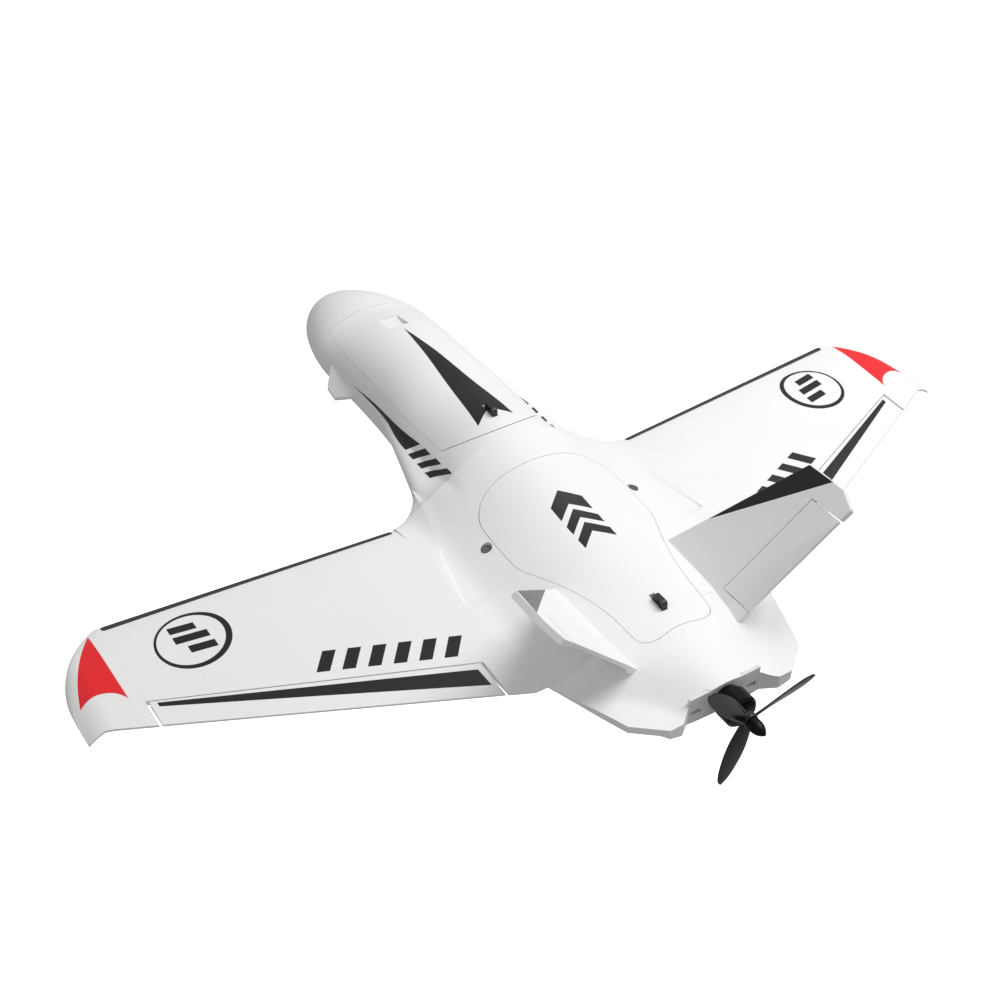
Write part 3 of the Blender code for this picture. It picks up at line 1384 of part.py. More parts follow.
def build():
    clear_scene()
    parts = new_collection("rc_flying_wing")
    cutters = new_collection("cutters")
    add_fuselage(parts, cutters)
    add_front_hatch(parts, cutters)
    add_rear_hatch(parts, cutters)
    add_latch("front_latch", FRONT_LATCH_Y, parts, cutters)
    add_latch("rear_latch", REAR_LATCH_Y, parts, cutters)
    for side_name, side in SIDES:
        add_wing_panel(side_name, side, parts, cutters)
        add_elevon(side_name, side, parts)
        add_leading_edge_strip(side_name, side, parts)
        add_fin(side_name, side, parts, cutters)
        add_rudder(side_name, side, parts)
        add_lock_screw(side_name, side, parts)
        add_fairing(side_name, side, parts)
        add_servo(side_name, side, parts)
        add_servo_arm(side_name, side, parts)
        add_horn(side_name, side, parts)
        add_pushrod(side_name, side, parts)
    add_spars(parts, cutters)
    add_motor_mount(parts, cutters)
    add_motor(parts)
    add_propeller(parts, cutters)
    add_propeller_nut(parts)
    add_equipment(parts)


build()
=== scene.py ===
"""Looks of the flying wing, built round its CAD frame.

The body, both hatches, the wing panels, the propeller and its nut are new, finely divided
surfaces. The other sub-parts keep their CAD shapes under new finishes.
"""

import logging
import math
from dataclasses import dataclass, field
from enum import Enum
from typing import Sequence

import bpy
import numpy as np
from mathutils import Matrix, Vector

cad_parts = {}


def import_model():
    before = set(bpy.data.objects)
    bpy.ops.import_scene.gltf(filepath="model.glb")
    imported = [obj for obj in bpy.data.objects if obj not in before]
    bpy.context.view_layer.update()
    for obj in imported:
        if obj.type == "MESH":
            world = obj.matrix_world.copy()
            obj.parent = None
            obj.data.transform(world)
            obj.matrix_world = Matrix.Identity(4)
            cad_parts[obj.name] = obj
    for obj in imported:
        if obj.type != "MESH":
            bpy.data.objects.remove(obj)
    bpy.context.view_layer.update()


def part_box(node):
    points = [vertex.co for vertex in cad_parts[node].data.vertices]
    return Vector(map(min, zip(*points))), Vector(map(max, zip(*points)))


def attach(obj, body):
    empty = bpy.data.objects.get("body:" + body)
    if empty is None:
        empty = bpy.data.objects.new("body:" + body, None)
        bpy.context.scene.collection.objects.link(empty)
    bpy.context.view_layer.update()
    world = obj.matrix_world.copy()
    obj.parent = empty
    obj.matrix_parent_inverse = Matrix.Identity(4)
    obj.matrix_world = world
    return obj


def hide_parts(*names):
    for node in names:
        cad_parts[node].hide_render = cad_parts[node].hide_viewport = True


LOG = logging.getLogger("flying_wing")
MM = 0.001


# ============================================================================================
# Names
# ============================================================================================
class Body(str, Enum):
    """The CAD bodies that new pieces ride on."""

    AIRFRAME = "airframe"
    NOSE_HATCH = "nose_hatch"
    TAIL_HATCH = "tail_hatch"
    ROTOR = "rotor"


class Plane(Enum):
    """The pair of directions that a printed patch is laid out in."""

    PLAN = "plan"
    SIDE = "side"
    FIN = "fin"


class Cut(str, Enum):
    """How a tool works on a piece."""

    AWAY = "DIFFERENCE"
    WITHIN = "INTERSECT"


SIDES = {"left": 1.0, "right": -1.0}


def srgb(code: str) -> tuple[float, float, float, float]:
    """The linear colour of a hex code.

    Args:
        code: six hexadecimal digits.

    Returns:
        Red, green, blue and alpha.
    """
    channels = [int(code[start:start + 2], 16) / 255 for start in (0, 2, 4)]
    linear = [c / 12.92 if c <= 0.04045 else ((c + 0.055) / 1.055) ** 2.4 for c in channels]
    return (linear[0], linear[1], linear[2], 1.0)


# ============================================================================================
# Node graphs
# ============================================================================================
class Graph:
    """A material's node tree, with short ways to add its nodes."""

    def __init__(self, name: str) -> None:
        """Start an empty material.

        Args:
            name: the material's name.
        """
        self.material = bpy.data.materials.new(name)
        self.material.use_nodes = True
        self.tree = self.material.node_tree
        self.tree.nodes.clear()

    def add(self, kind: str, settings: dict | None = None, links: dict | None = None):
        """Add one node.

        Args:
            kind: the node's type name after "ShaderNode".
            settings: node properties by name.
            links: input values or sockets by input name or number.

        Returns:
            The node.
        """
        node = self.tree.nodes.new(f"ShaderNode{kind}")
        for key, value in (settings or {}).items():
            setattr(node, key, value)
        for key, value in (links or {}).items():
            socket = node.inputs[key]
            if isinstance(value, bpy.types.NodeSocket):
                self.tree.links.new(value, socket)
            else:
                socket.default_value = value
        return node

    def math(self, operation: str, *values, clamp: bool = False):
        """A math node's result.

        Args:
            operation: the math operation.
            values: numbers or sockets, in order.
            clamp: whether the result is held between 0 and 1.

        Returns:
            The result socket.
        """
        settings = {"operation": operation, "use_clamp": clamp}
        return self.add("Math", settings, dict(enumerate(values))).outputs[0]

    def place(self):
        """The three coordinates of a point on the piece, in metres.

        Returns:
            The coordinate vector's socket and its x, y and z sockets.
        """
        vector = self.add("TexCoord").outputs["Object"]
        parts = self.add("SeparateXYZ", links={0: vector}).outputs
        return vector, parts[0], parts[1], parts[2]

    def finish(self, shader) -> bpy.types.Material:
        """Close the graph with its output node.

        Args:
            shader: the socket of the finished shader.

        Returns:
            The material.
        """
        self.add("OutputMaterial", links={"Surface": shader})
        return self.material


@dataclass
class Axes:
    """Sockets for a point's place across, along and above the aircraft, and on its fins."""

    graph: Graph
    vector: object
    out: object
    aft: object
    up: object

    @classmethod
    def of(cls, graph: Graph) -> "Axes":
        """Read a piece's coordinates, with both sides of the aircraft folded on each other.

        Args:
            graph: the material's graph.

        Returns:
            The sockets.
        """
        vector, x, y, z = graph.place()
        return cls(graph, vector, graph.math("ABSOLUTE", x), y, z)

    def pair(self, plane: Plane):
        """The two coordinates of a plane.

        Args:
            plane: which plane.

        Returns:
            The sockets of its first and second coordinate.
        """
        if plane is Plane.PLAN:
            return self.out, self.aft
        if plane is Plane.SIDE:
            return self.aft, self.up
        return self.along_fin(), self.aft

    def along_fin(self):
        """Distance from a fin's root along its slanted span.

        Returns:
            The socket.
        """
        fins = FinForm()
        across = self.graph.math("MULTIPLY_ADD", self.out, math.cos(fins.cant), 0.0)
        offset = -fins.base_x * math.cos(fins.cant) - fins.base_z * math.sin(fins.cant)
        upward = self.graph.math("MULTIPLY_ADD", self.up, math.sin(fins.cant), offset)
        return self.graph.math("ADD", across, upward)

    def inside_fin(self):
        """Distance inwards from a fin's inner face.

        Returns:
            The socket.
        """
        fins = FinForm()
        across = self.graph.math("MULTIPLY_ADD", self.out, -math.sin(fins.cant), 0.0)
        offset = fins.base_x * math.sin(fins.cant) - fins.base_z * math.cos(fins.cant)
        upward = self.graph.math("MULTIPLY_ADD", self.up, math.cos(fins.cant), offset)
        return self.graph.math("ADD", across, upward)


# ============================================================================================
# Printed patches
# ============================================================================================
@dataclass(frozen=True)
class Patch:
    """A printed convex patch, with corners in millimetres in one plane."""

    corners: tuple[tuple[float, float], ...]
    plane: Plane = Plane.PLAN
    softness: float = 0.25

    def mask(self, axes: Axes):
        """1 on the patch and 0 off it, from the least of the distances inside its edges.

        Args:
            axes: the piece's coordinates.

        Returns:
            The mask's socket.
        """
        first, second = axes.pair(self.plane)
        graph = axes.graph
        flat = graph.add("CombineXYZ", links={0: first, 1: second, 2: 1.0}).outputs[0]
        points = np.array(self.corners) * MM
        following = np.roll(points, -1, axis=0)
        turning = np.sum(points[:, 0] * following[:, 1] - following[:, 0] * points[:, 1])
        inside = None
        for start, end in zip(points, following):
            edge = (end - start) / np.linalg.norm(end - start)
            normal = np.array([-edge[1], edge[0]]) * np.sign(turning)
            line = (float(normal[0]), float(normal[1]), float(-normal @ start))
            links = {0: flat, 1: line}
            distance = graph.add("VectorMath", {"operation": "DOT_PRODUCT"}, links).outputs["Value"]
            inside = distance if inside is None else graph.math("MINIMUM", inside, distance)
        return graph.math("MULTIPLY_ADD", inside, 1 / (self.softness * MM), 0.5, clamp=True)


@dataclass(frozen=True)
class Disc:
    """A printed disc in plan, in millimetres."""

    centre: tuple[float, float]
    radius: float
    softness: float = 0.25

    def mask(self, axes: Axes):
        """1 within the disc and 0 beyond it, from the distance to its centre.

        Args:
            axes: the piece's coordinates.

        Returns:
            The mask's socket.
        """
        graph = axes.graph
        flat = graph.add("CombineXYZ", links={0: axes.out, 1: axes.aft, 2: 0.0}).outputs[0]
        centre = (self.centre[0] * MM, self.centre[1] * MM, 0.0)
        links = {0: flat, 1: centre}
        distance = graph.add("VectorMath", {"operation": "DISTANCE"}, links).outputs["Value"]
        scale = 1 / (self.softness * MM)
        return graph.math("MULTIPLY_ADD", distance, -scale, self.radius * MM * scale, clamp=True)


@dataclass(frozen=True)
class Without:
    """One printed shape less another."""

    shape: object
    removed: object

    def mask(self, axes: Axes):
        """The first shape's mask where the second has none.

        Args:
            axes: the piece's coordinates.

        Returns:
            The mask's socket.
        """
        kept = axes.graph.math("SUBTRACT", 1.0, self.removed.mask(axes))
        return axes.graph.math("MULTIPLY", self.shape.mask(axes), kept)


@dataclass(frozen=True)
class Within:
    """The part of a printed shape that lies within another."""

    shape: object
    bounds: object

    def mask(self, axes: Axes):
        """The product of both masks.

        Args:
            axes: the piece's coordinates.

        Returns:
            The mask's socket.
        """
        return axes.graph.math("MULTIPLY", self.shape.mask(axes), self.bounds.mask(axes))


class Face(Enum):
    """Which face of a piece carries its print."""

    TOP = "top"
    SIDE = "side"
    FIN_INSIDE = "fin_inside"


@dataclass(frozen=True)
class Print:
    """Shapes printed in one colour on one face."""

    shapes: tuple
    colour: str
    face: Face = Face.TOP
    roughness: float = 0.34

    def mask(self, axes: Axes):
        """Where any of the shapes lies on the face.

        Args:
            axes: the piece's coordinates.

        Returns:
            The mask's socket.
        """
        graph = axes.graph
        together = self.shapes[0].mask(axes)
        for shape in self.shapes[1:]:
            together = graph.math("MAXIMUM", together, shape.mask(axes))
        return graph.math("MULTIPLY", together, self.facing(axes))

    def facing(self, axes: Axes):
        """1 on the print's own face of the piece.

        Args:
            axes: the piece's coordinates.

        Returns:
            The socket.
        """
        graph = axes.graph
        if self.face is Face.FIN_INSIDE:
            return graph.math("GREATER_THAN", axes.inside_fin(), -0.4 * MM)
        if self.face is Face.SIDE:
            return graph.math("GREATER_THAN", axes.out, 36 * MM)
        normal = graph.add("TexCoord").outputs["Normal"]
        upward = graph.add("SeparateXYZ", links={0: normal}).outputs[2]
        return graph.math("GREATER_THAN", upward, 0.05)


def slanted_row(start, end, count: int, width: float, height: float, lean: float) -> tuple:
    """A row of equal slanted bars along a line.

    Args:
        start: where the row's lower edge starts, outwards and aft, in millimetres.
        end: where it ends.
        count: how many bars.
        width: each bar's width.
        height: each bar's height, square to the row.
        lean: how far each bar's top leans along the row.

    Returns:
        The bars.
    """
    line = np.array(end, float) - np.array(start, float)
    length = float(np.linalg.norm(line))
    along = line / length
    across = np.array([-along[1], along[0]])
    bars = []
    for place in np.linspace(max(-lean, 0), length - width - max(lean, 0), count):
        low = np.array(start) + along * place
        high = low + across * height + along * lean
        bars.append(Patch(tuple(map(tuple, (low, low + along * width, high + along * width, high)))))
    return tuple(bars)


BLACK = "171616"
BROWN_BLACK = "201C1B"
RED = "EE1C25"
CHEVRONS = (
    Patch(((-2, 66.8), (15.6, 81.9), (15.6, 98.2), (-2, 83.8))),
    Patch(((-2, 89.9), (15.8, 105.7), (15.5, 115.5), (-2, 100.6))),
    Patch(((-2, 106.6), (15.8, 122.4), (15.5, 132.9), (-2, 118.0))),
)
NOSE_ARROW = (Patch(((-2, -206.9), (18, -27.6), (-2, -42.5))),)
SIDE_WEDGE = (
    Patch(((-189.5, 58.1), (-63.3, 68.1), (-74.2, 58.4)), Plane.SIDE),
    Patch(((-55.8, 68.3), (-45.8, 67.9), (-59.4, 57.7), (-68.3, 57.9)), Plane.SIDE),
    Patch(((-38.1, 68.6), (-28.3, 68.6), (-44.7, 57.1), (-52.9, 57.3)), Plane.SIDE),
    Patch(((-19.1, 70.2), (-7.3, 72.7), (-29.6, 57.0), (-39.0, 56.7)), Plane.SIDE),
)
TIP_FLASH = Within(
    Without(
        Patch(((384.2, -18.7), (381.8, 72.6), (416.4, 48.9), (430, 39.6), (430, -30))),
        Disc((403.8, 67.6), 22.6),
    ),
    Disc((251.5, 86.0), 169.0),
)
RING = Without(Disc((316.3, 31.4), 30.7), Disc((317.6, 30.6), 27.0))
RING_BARS = (
    Patch(((309, 14), (330, 10), (330, 18), (309, 22))),
    Patch(((303, 27), (330, 22), (330, 30), (303, 35))),
    Patch(((302, 40), (323, 36), (323, 44), (302, 48))),
)
ELEVON_FLASH = (Patch(((144.2, 175.5), (143.2, 194.0), (365.5, 80.4), (365.5, 76.0))),)
FIN_FLASH = (Patch(((34.4, 169.4), (118.9, 215.1), (119.8, 242.8)), Plane.FIN),)


# ============================================================================================
# Finishes
# ============================================================================================
@dataclass(frozen=True)
class Foam:
    """Moulded bead foam with a skin, and printed patches on it."""

    colour: str = "F4F4F3"
    bead: float = 0.0032
    roughness: float = 0.52
    prints: tuple[Print, ...] = ()

    def build(self, name: str) -> bpy.types.Material:
        """The material: faint bead borders, a slow change of tone and a fine skin grain.

        Args:
            name: the material's name.

        Returns:
            The material.
        """
        graph = Graph(name)
        axes = Axes.of(graph)
        beads = self.bead_borders(graph, axes)
        tone = self.tone(graph, axes, beads)
        colour, roughness = tone, self.roughness
        for mark in self.prints:
            mask = mark.mask(axes)
            colour = self.mixed(graph, mask, colour, srgb(mark.colour))
            roughness = graph.add(
                "Mix", {"data_type": "FLOAT"}, {0: mask, 2: roughness, 3: mark.roughness}
            ).outputs[0]
        grain = graph.add("TexNoise", links={0: axes.vector, "Scale": 900.0, "Detail": 3.0})
        height = graph.math("MULTIPLY_ADD", grain.outputs[0], 0.25, beads)
        bump = graph.add("Bump", links={"Strength": 0.10, "Distance": 0.0002, "Height": height})
        links = {"Base Color": colour, "Roughness": roughness, "Normal": bump.outputs[0]}
        return graph.finish(graph.add("BsdfPrincipled", links=links).outputs[0])

    def bead_borders(self, graph: Graph, axes: Axes):
        """0 on the borders between beads, 1 within them.

        Args:
            graph: the material's graph.
            axes: the piece's coordinates.

        Returns:
            The socket.
        """
        links = {"Vector": axes.vector, "Scale": 1 / self.bead}
        cells = graph.add("TexVoronoi", {"feature": "DISTANCE_TO_EDGE"}, links)
        return graph.math("MULTIPLY", cells.outputs[0], 6.0, clamp=True)

    def tone(self, graph: Graph, axes: Axes, beads):
        """The foam's colour, very slightly darker between beads and in soft patches.

        Args:
            graph: the material's graph.
            axes: the piece's coordinates.
            beads: the bead borders' socket.

        Returns:
            The colour's socket.
        """
        cloud = graph.add("TexNoise", links={0: axes.vector, "Scale": 14.0, "Detail": 2.0})
        spread = graph.math("MULTIPLY_ADD", cloud.outputs[0], 0.05, 0.955)
        border = graph.math("MULTIPLY_ADD", beads, 0.012, 0.988)
        value = graph.math("MULTIPLY", spread, border)
        hsv = graph.add("HueSaturation", links={"Value": value, "Color": srgb(self.colour)})
        return hsv.outputs[0]

    @staticmethod
    def mixed(graph: Graph, mask, below, above):
        """One colour over another where the mask is 1.

        Args:
            graph: the material's graph.
            mask: the mask's socket.
            below: the lower colour.
            above: the upper colour.

        Returns:
            The colour's socket.
        """
        node = graph.add("Mix", {"data_type": "RGBA"}, {0: mask, 6: below, 7: above})
        return node.outputs[2]


@dataclass(frozen=True)
class Grained:
    """A plastic, metal or wrap with a fine grain and slow patches of tone."""

    colour: str
    roughness: float
    metallic: float = 0.0
    grain: float = 1200.0
    depth: float = 0.00004
    coat: float = 0.0
    stretch: tuple[float, float, float] = (1.0, 1.0, 1.0)

    def build(self, name: str) -> bpy.types.Material:
        """The material.

        Args:
            name: the material's name.

        Returns:
            The material.
        """
        graph = Graph(name)
        vector = graph.place()[0]
        links = {"Vector": vector, "Scale": self.stretch}
        stretched = graph.add("Mapping", links=links).outputs[0]
        fine = graph.add("TexNoise", links={0: stretched, "Scale": self.grain, "Detail": 4.0})
        slow = graph.add("TexNoise", links={0: vector, "Scale": 60.0, "Detail": 2.0})
        value = graph.math("MULTIPLY_ADD", slow.outputs[0], 0.35, 0.83)
        colour = graph.add("HueSaturation", links={"Value": value, "Color": srgb(self.colour)})
        rough = graph.math("MULTIPLY_ADD", fine.outputs[0], 0.16, self.roughness - 0.08)
        bump = graph.add(
            "Bump", links={"Strength": 0.35, "Distance": self.depth, "Height": fine.outputs[0]}
        )
        links = {
            "Base Color": colour.outputs[0], "Roughness": rough, "Metallic": self.metallic,
            "Coat Weight": self.coat, "Coat Roughness": 0.12, "Normal": bump.outputs[0],
        }
        return graph.finish(graph.add("BsdfPrincipled", links=links).outputs[0])


@dataclass(frozen=True)
class Weave:
    """Woven carbon fibre under a clear coat."""

    colour: str = "202124"
    tow: float = 0.0016

    def build(self, name: str) -> bpy.types.Material:
        """The material: two crossing sets of tows that take the light in turn.

        Args:
            name: the material's name.

        Returns:
            The material.
        """
        graph = Graph(name)
        vector, x, y, z = graph.place()
        checks = graph.add("TexChecker", links={"Vector": vector, "Scale": 1 / self.tow})
        fibre = graph.add("TexNoise", links={0: vector, "Scale": 2400.0, "Detail": 2.0})
        shade = graph.math("MULTIPLY_ADD", checks.outputs["Fac"], 0.7, 0.65)
        shade = graph.math("MULTIPLY", shade, graph.math("ADD", fibre.outputs[0], 0.5))
        colour = graph.add("HueSaturation", links={"Value": shade, "Color": srgb(self.colour)})
        rough = graph.math("MULTIPLY_ADD", checks.outputs["Fac"], 0.15, 0.30)
        height = graph.math("ADD", checks.outputs["Fac"], fibre.outputs[0])
        bump = graph.add("Bump", links={"Strength": 0.2, "Distance": 0.00003, "Height": height})
        links = {
            "Base Color": colour.outputs[0], "Roughness": rough, "Coat Weight": 0.6,
            "Normal": bump.outputs[0],
        }
        return graph.finish(graph.add("BsdfPrincipled", links=links).outputs[0])


@dataclass(frozen=True)
class Board:
    """A circuit board: green mask, paler tracks and small dark components."""

    colour: str = "1B5038"
    track: str = "2F7A55"
    package: str = "151515"
    pitch: float = 0.0031

    def build(self, name: str) -> bpy.types.Material:
        """The material.

        Args:
            name: the material's name.

        Returns:
            The material.
        """
        graph = Graph(name)
        vector = graph.place()[0]
        settings = {"feature": "F1", "distance": "CHEBYCHEV"}
        cells = graph.add("TexVoronoi", settings, {"Vector": vector, "Scale": 1 / self.pitch})
        package = graph.math("LESS_THAN", cells.outputs["Distance"], 0.28)
        wave = graph.add("TexWave", links={"Vector": vector, "Scale": 160.0, "Distortion": 6.0})
        track = graph.math("GREATER_THAN", wave.outputs[1], 0.72)
        colour = Foam.mixed(graph, track, srgb(self.colour), srgb(self.track))
        colour = Foam.mixed(graph, package, colour, srgb(self.package))
        rough = graph.math("MULTIPLY_ADD", package, 0.25, 0.32)
        bump = graph.add("Bump", links={"Strength": 0.6, "Distance": 0.0004, "Height": package})
        links = {"Base Color": colour, "Roughness": rough, "Normal": bump.outputs[0]}
        return graph.finish(graph.add("BsdfPrincipled", links=links).outputs[0])


FUSELAGE_FOAM = Foam(prints=(Print(SIDE_WEDGE, BROWN_BLACK, Face.SIDE),))
FRONT_HATCH_FOAM = Foam(prints=(
    Print(NOSE_ARROW, BROWN_BLACK, roughness=0.22), Print(SIDE_WEDGE, BROWN_BLACK, Face.SIDE),
))
REAR_HATCH_FOAM = Foam(prints=(Print(CHEVRONS, BLACK),))
WING_FOAM = Foam(prints=(
    Print((TIP_FLASH,), RED),
    Print((RING,) + RING_BARS + slanted_row((250.7, 113.0), (145.0, 158.8), 6, 10.5, 21.0, 6.0), BLACK),
))
ELEVON_FOAM = Foam(prints=(Print(ELEVON_FLASH, BLACK),))
FIN_FOAM = Foam(prints=(Print(FIN_FLASH, BLACK, Face.FIN_INSIDE, 0.25),))
PLAIN_FOAM = Foam()
SATIN_BLACK = Grained("1D1D1E", 0.42)
STRIP_BLACK = Grained("303030", 0.5)
GLOSS_BLACK = Grained("141414", 0.22, coat=0.4, grain=700.0, depth=0.00002)
GREY_PLASTIC = Grained("55565A", 0.5)
WHITE_PLASTIC = Grained("DCDCDA", 0.42)
ANODISED = Grained("1B1B1D", 0.30, metallic=0.85, stretch=(1.0, 12.0, 1.0))
STEEL = Grained("B9BBBE", 0.26, metallic=1.0, stretch=(3.0, 0.4, 3.0))
WRAP = Grained("27407E", 0.30, coat=0.5, grain=260.0, depth=0.00012)
CARBON = Weave()
CIRCUIT = Board()


# ============================================================================================
# Curves shared by the surfaces
# ============================================================================================
def eased(value: np.ndarray) -> np.ndarray:
    """A smooth step: 3 v squared less 2 v cubed, held between 0 and 1.

    Args:
        value: the places along the step.

    Returns:
        The heights of the step.
    """
    held = np.clip(value, 0.0, 1.0)
    return held * held * (3 - 2 * held)


def through(knots: Sequence[tuple[float, float]], y: np.ndarray) -> np.ndarray:
    """A smooth curve through knots: cubic pieces whose slopes are the knots' own gradients.

    Args:
        knots: (place aft, value) pairs.
        y: the places aft.

    Returns:
        The values.
    """
    places, values = np.array(knots).T
    slopes = np.gradient(values, places)
    held = np.clip(y, places[0], places[-1])
    index = np.clip(np.searchsorted(places, held) - 1, 0, len(places) - 2)
    width = places[index + 1] - places[index]
    t = (held - places[index]) / width
    start = (2 * t**3 - 3 * t**2 + 1) * values[index]
    rising = (t**3 - 2 * t**2 + t) * width * slopes[index]
    end = (3 * t**2 - 2 * t**3) * values[index + 1]
    return start + rising + end + (t**3 - t**2) * width * slopes[index + 1]


def power_arch(share: np.ndarray, power: float, root: float) -> np.ndarray:
    """A rounded arch: (1 - share to a power) to another power, 0 past share 1.

    Args:
        share: the distance from the middle, as a share of the arch's half width.
        power: how square the arch is.
        root: the outer power.

    Returns:
        The heights.
    """
    return np.maximum(1 - np.minimum(np.abs(share), 1.0) ** power, 0.0) ** root


# ============================================================================================
# Surfaces
# ============================================================================================
@dataclass(frozen=True)
class WingForm:
    """The wing's outer form, in metres."""

    half_span: float = 0.4225
    root_x: float = 0.118
    root_lead: float = -0.0045
    root_tail: float = 0.217
    lead_sweep: float = -0.0844
    tail_sweep: float = -0.4713
    tail_limit: float = 0.080
    rake_length: float = 0.046
    rake_depth: float = 0.0690
    rake_power: float = 1.22
    root_half: float = 0.012
    tip_half: float = 0.0055
    tail_half: float = 0.0012
    thinning: float = 0.45
    droop: float = 0.009
    droop_length: float = 0.022
    peak: float = 0.30
    nose_power: float = 2.2
    tail_power: float = 1.15
    under_share: float = 0.7
    plane_z: float = 0.037

    @property
    def rake_x(self) -> float:
        """Where the raked tip begins."""
        return self.half_span - self.rake_length

    def lead(self, x: np.ndarray) -> np.ndarray:
        """The leading edge: straight, then a rounded rake at the tip.

        Args:
            x: distances out.

        Returns:
            Places aft.
        """
        straight = self.root_lead + self.lead_sweep * (np.minimum(x, self.rake_x) - self.root_x)
        raked = np.maximum(x - self.rake_x, 0.0) / self.rake_length
        fall = np.sqrt(np.maximum(1 - raked**self.rake_power, 0.0))
        return straight + self.rake_depth * (1 - fall)

    def tail(self, x: np.ndarray) -> np.ndarray:
        """The trailing edge: straight, then square to the flight at the tip.

        Args:
            x: distances out.

        Returns:
            Places aft.
        """
        return np.maximum(self.root_tail + self.tail_sweep * (x - self.root_x), self.tail_limit)

    def half_thickness(self, x: np.ndarray) -> np.ndarray:
        """Half the rib's height: even taper to the rake, then eased thinner.

        Args:
            x: distances out.

        Returns:
            Half heights.
        """
        share = np.clip((x - self.root_x) / (self.rake_x - self.root_x), 0.0, 1.0)
        tip = np.maximum(x - self.rake_x, 0.0) / self.rake_length
        even = self.root_half + (self.tip_half - self.root_half) * share
        return even * (1 - self.thinning * eased(tip))

    def section(self, fraction: np.ndarray, thickness: np.ndarray) -> np.ndarray:
        """A rib's half height: a rounded nose up to the peak, then a nearly straight tail.

        Args:
            fraction: shares of the chord.
            thickness: half thicknesses.

        Returns:
            Half heights.
        """
        ahead = np.maximum(self.peak - fraction, 0.0) / self.peak
        behind = np.maximum(fraction - self.peak, 0.0) / (1 - self.peak)
        nose = thickness * np.sqrt(np.maximum(1 - ahead**self.nose_power, 0.0))
        tail = thickness + (self.tail_half - thickness) * behind**self.tail_power
        return np.where(fraction < self.peak, nose, tail)

    def heights(self, x: np.ndarray, y: np.ndarray) -> tuple[np.ndarray, np.ndarray]:
        """The lower and upper surface over places in plan.

        Args:
            x: distances out.
            y: places aft.

        Returns:
            Lower and upper heights.
        """
        lead = self.lead(x)
        fraction = np.clip((y - lead) / (self.tail(x) - lead), 0.0, 1.0)
        height = self.section(fraction, self.half_thickness(x))
        drop = np.maximum(x - (self.half_span - self.droop_length), 0.0) / self.droop_length
        middle = self.plane_z - self.droop * drop**2
        return middle - self.under_share * height, middle + height

    def rings(self, columns: int, stations: int) -> np.ndarray:
        """Closed rib outlines, close together round the tip.

        Args:
            columns: points along each face.
            stations: ribs on the straight part.

        Returns:
            An array of (rib, point, 3).
        """
        straight = np.linspace(self.root_x + 0.00002, self.rake_x, stations)
        turn = np.linspace(0, math.pi / 2, stations // 2 + 2)[1:]
        x = np.concatenate([straight, self.rake_x + self.rake_length * np.sin(turn)])[:, None]
        fraction = (1 - np.cos(np.linspace(0, math.pi, columns)))[None, :] / 2
        y = self.lead(x) + (self.tail(x) - self.lead(x)) * fraction
        wide = np.broadcast_to(x, y.shape)
        low, high = self.heights(wide, y)
        upper = np.stack([wide, y, high], axis=2)
        lower = np.stack([wide, y, low], axis=2)
        return np.concatenate([upper, lower[:, :0:-1]], axis=1)


@dataclass(frozen=True)
class FinForm:
    """Where the slanted fins stand."""

    cant: float = math.radians(48)
    base_x: float = 0.056
    base_z: float = 0.061


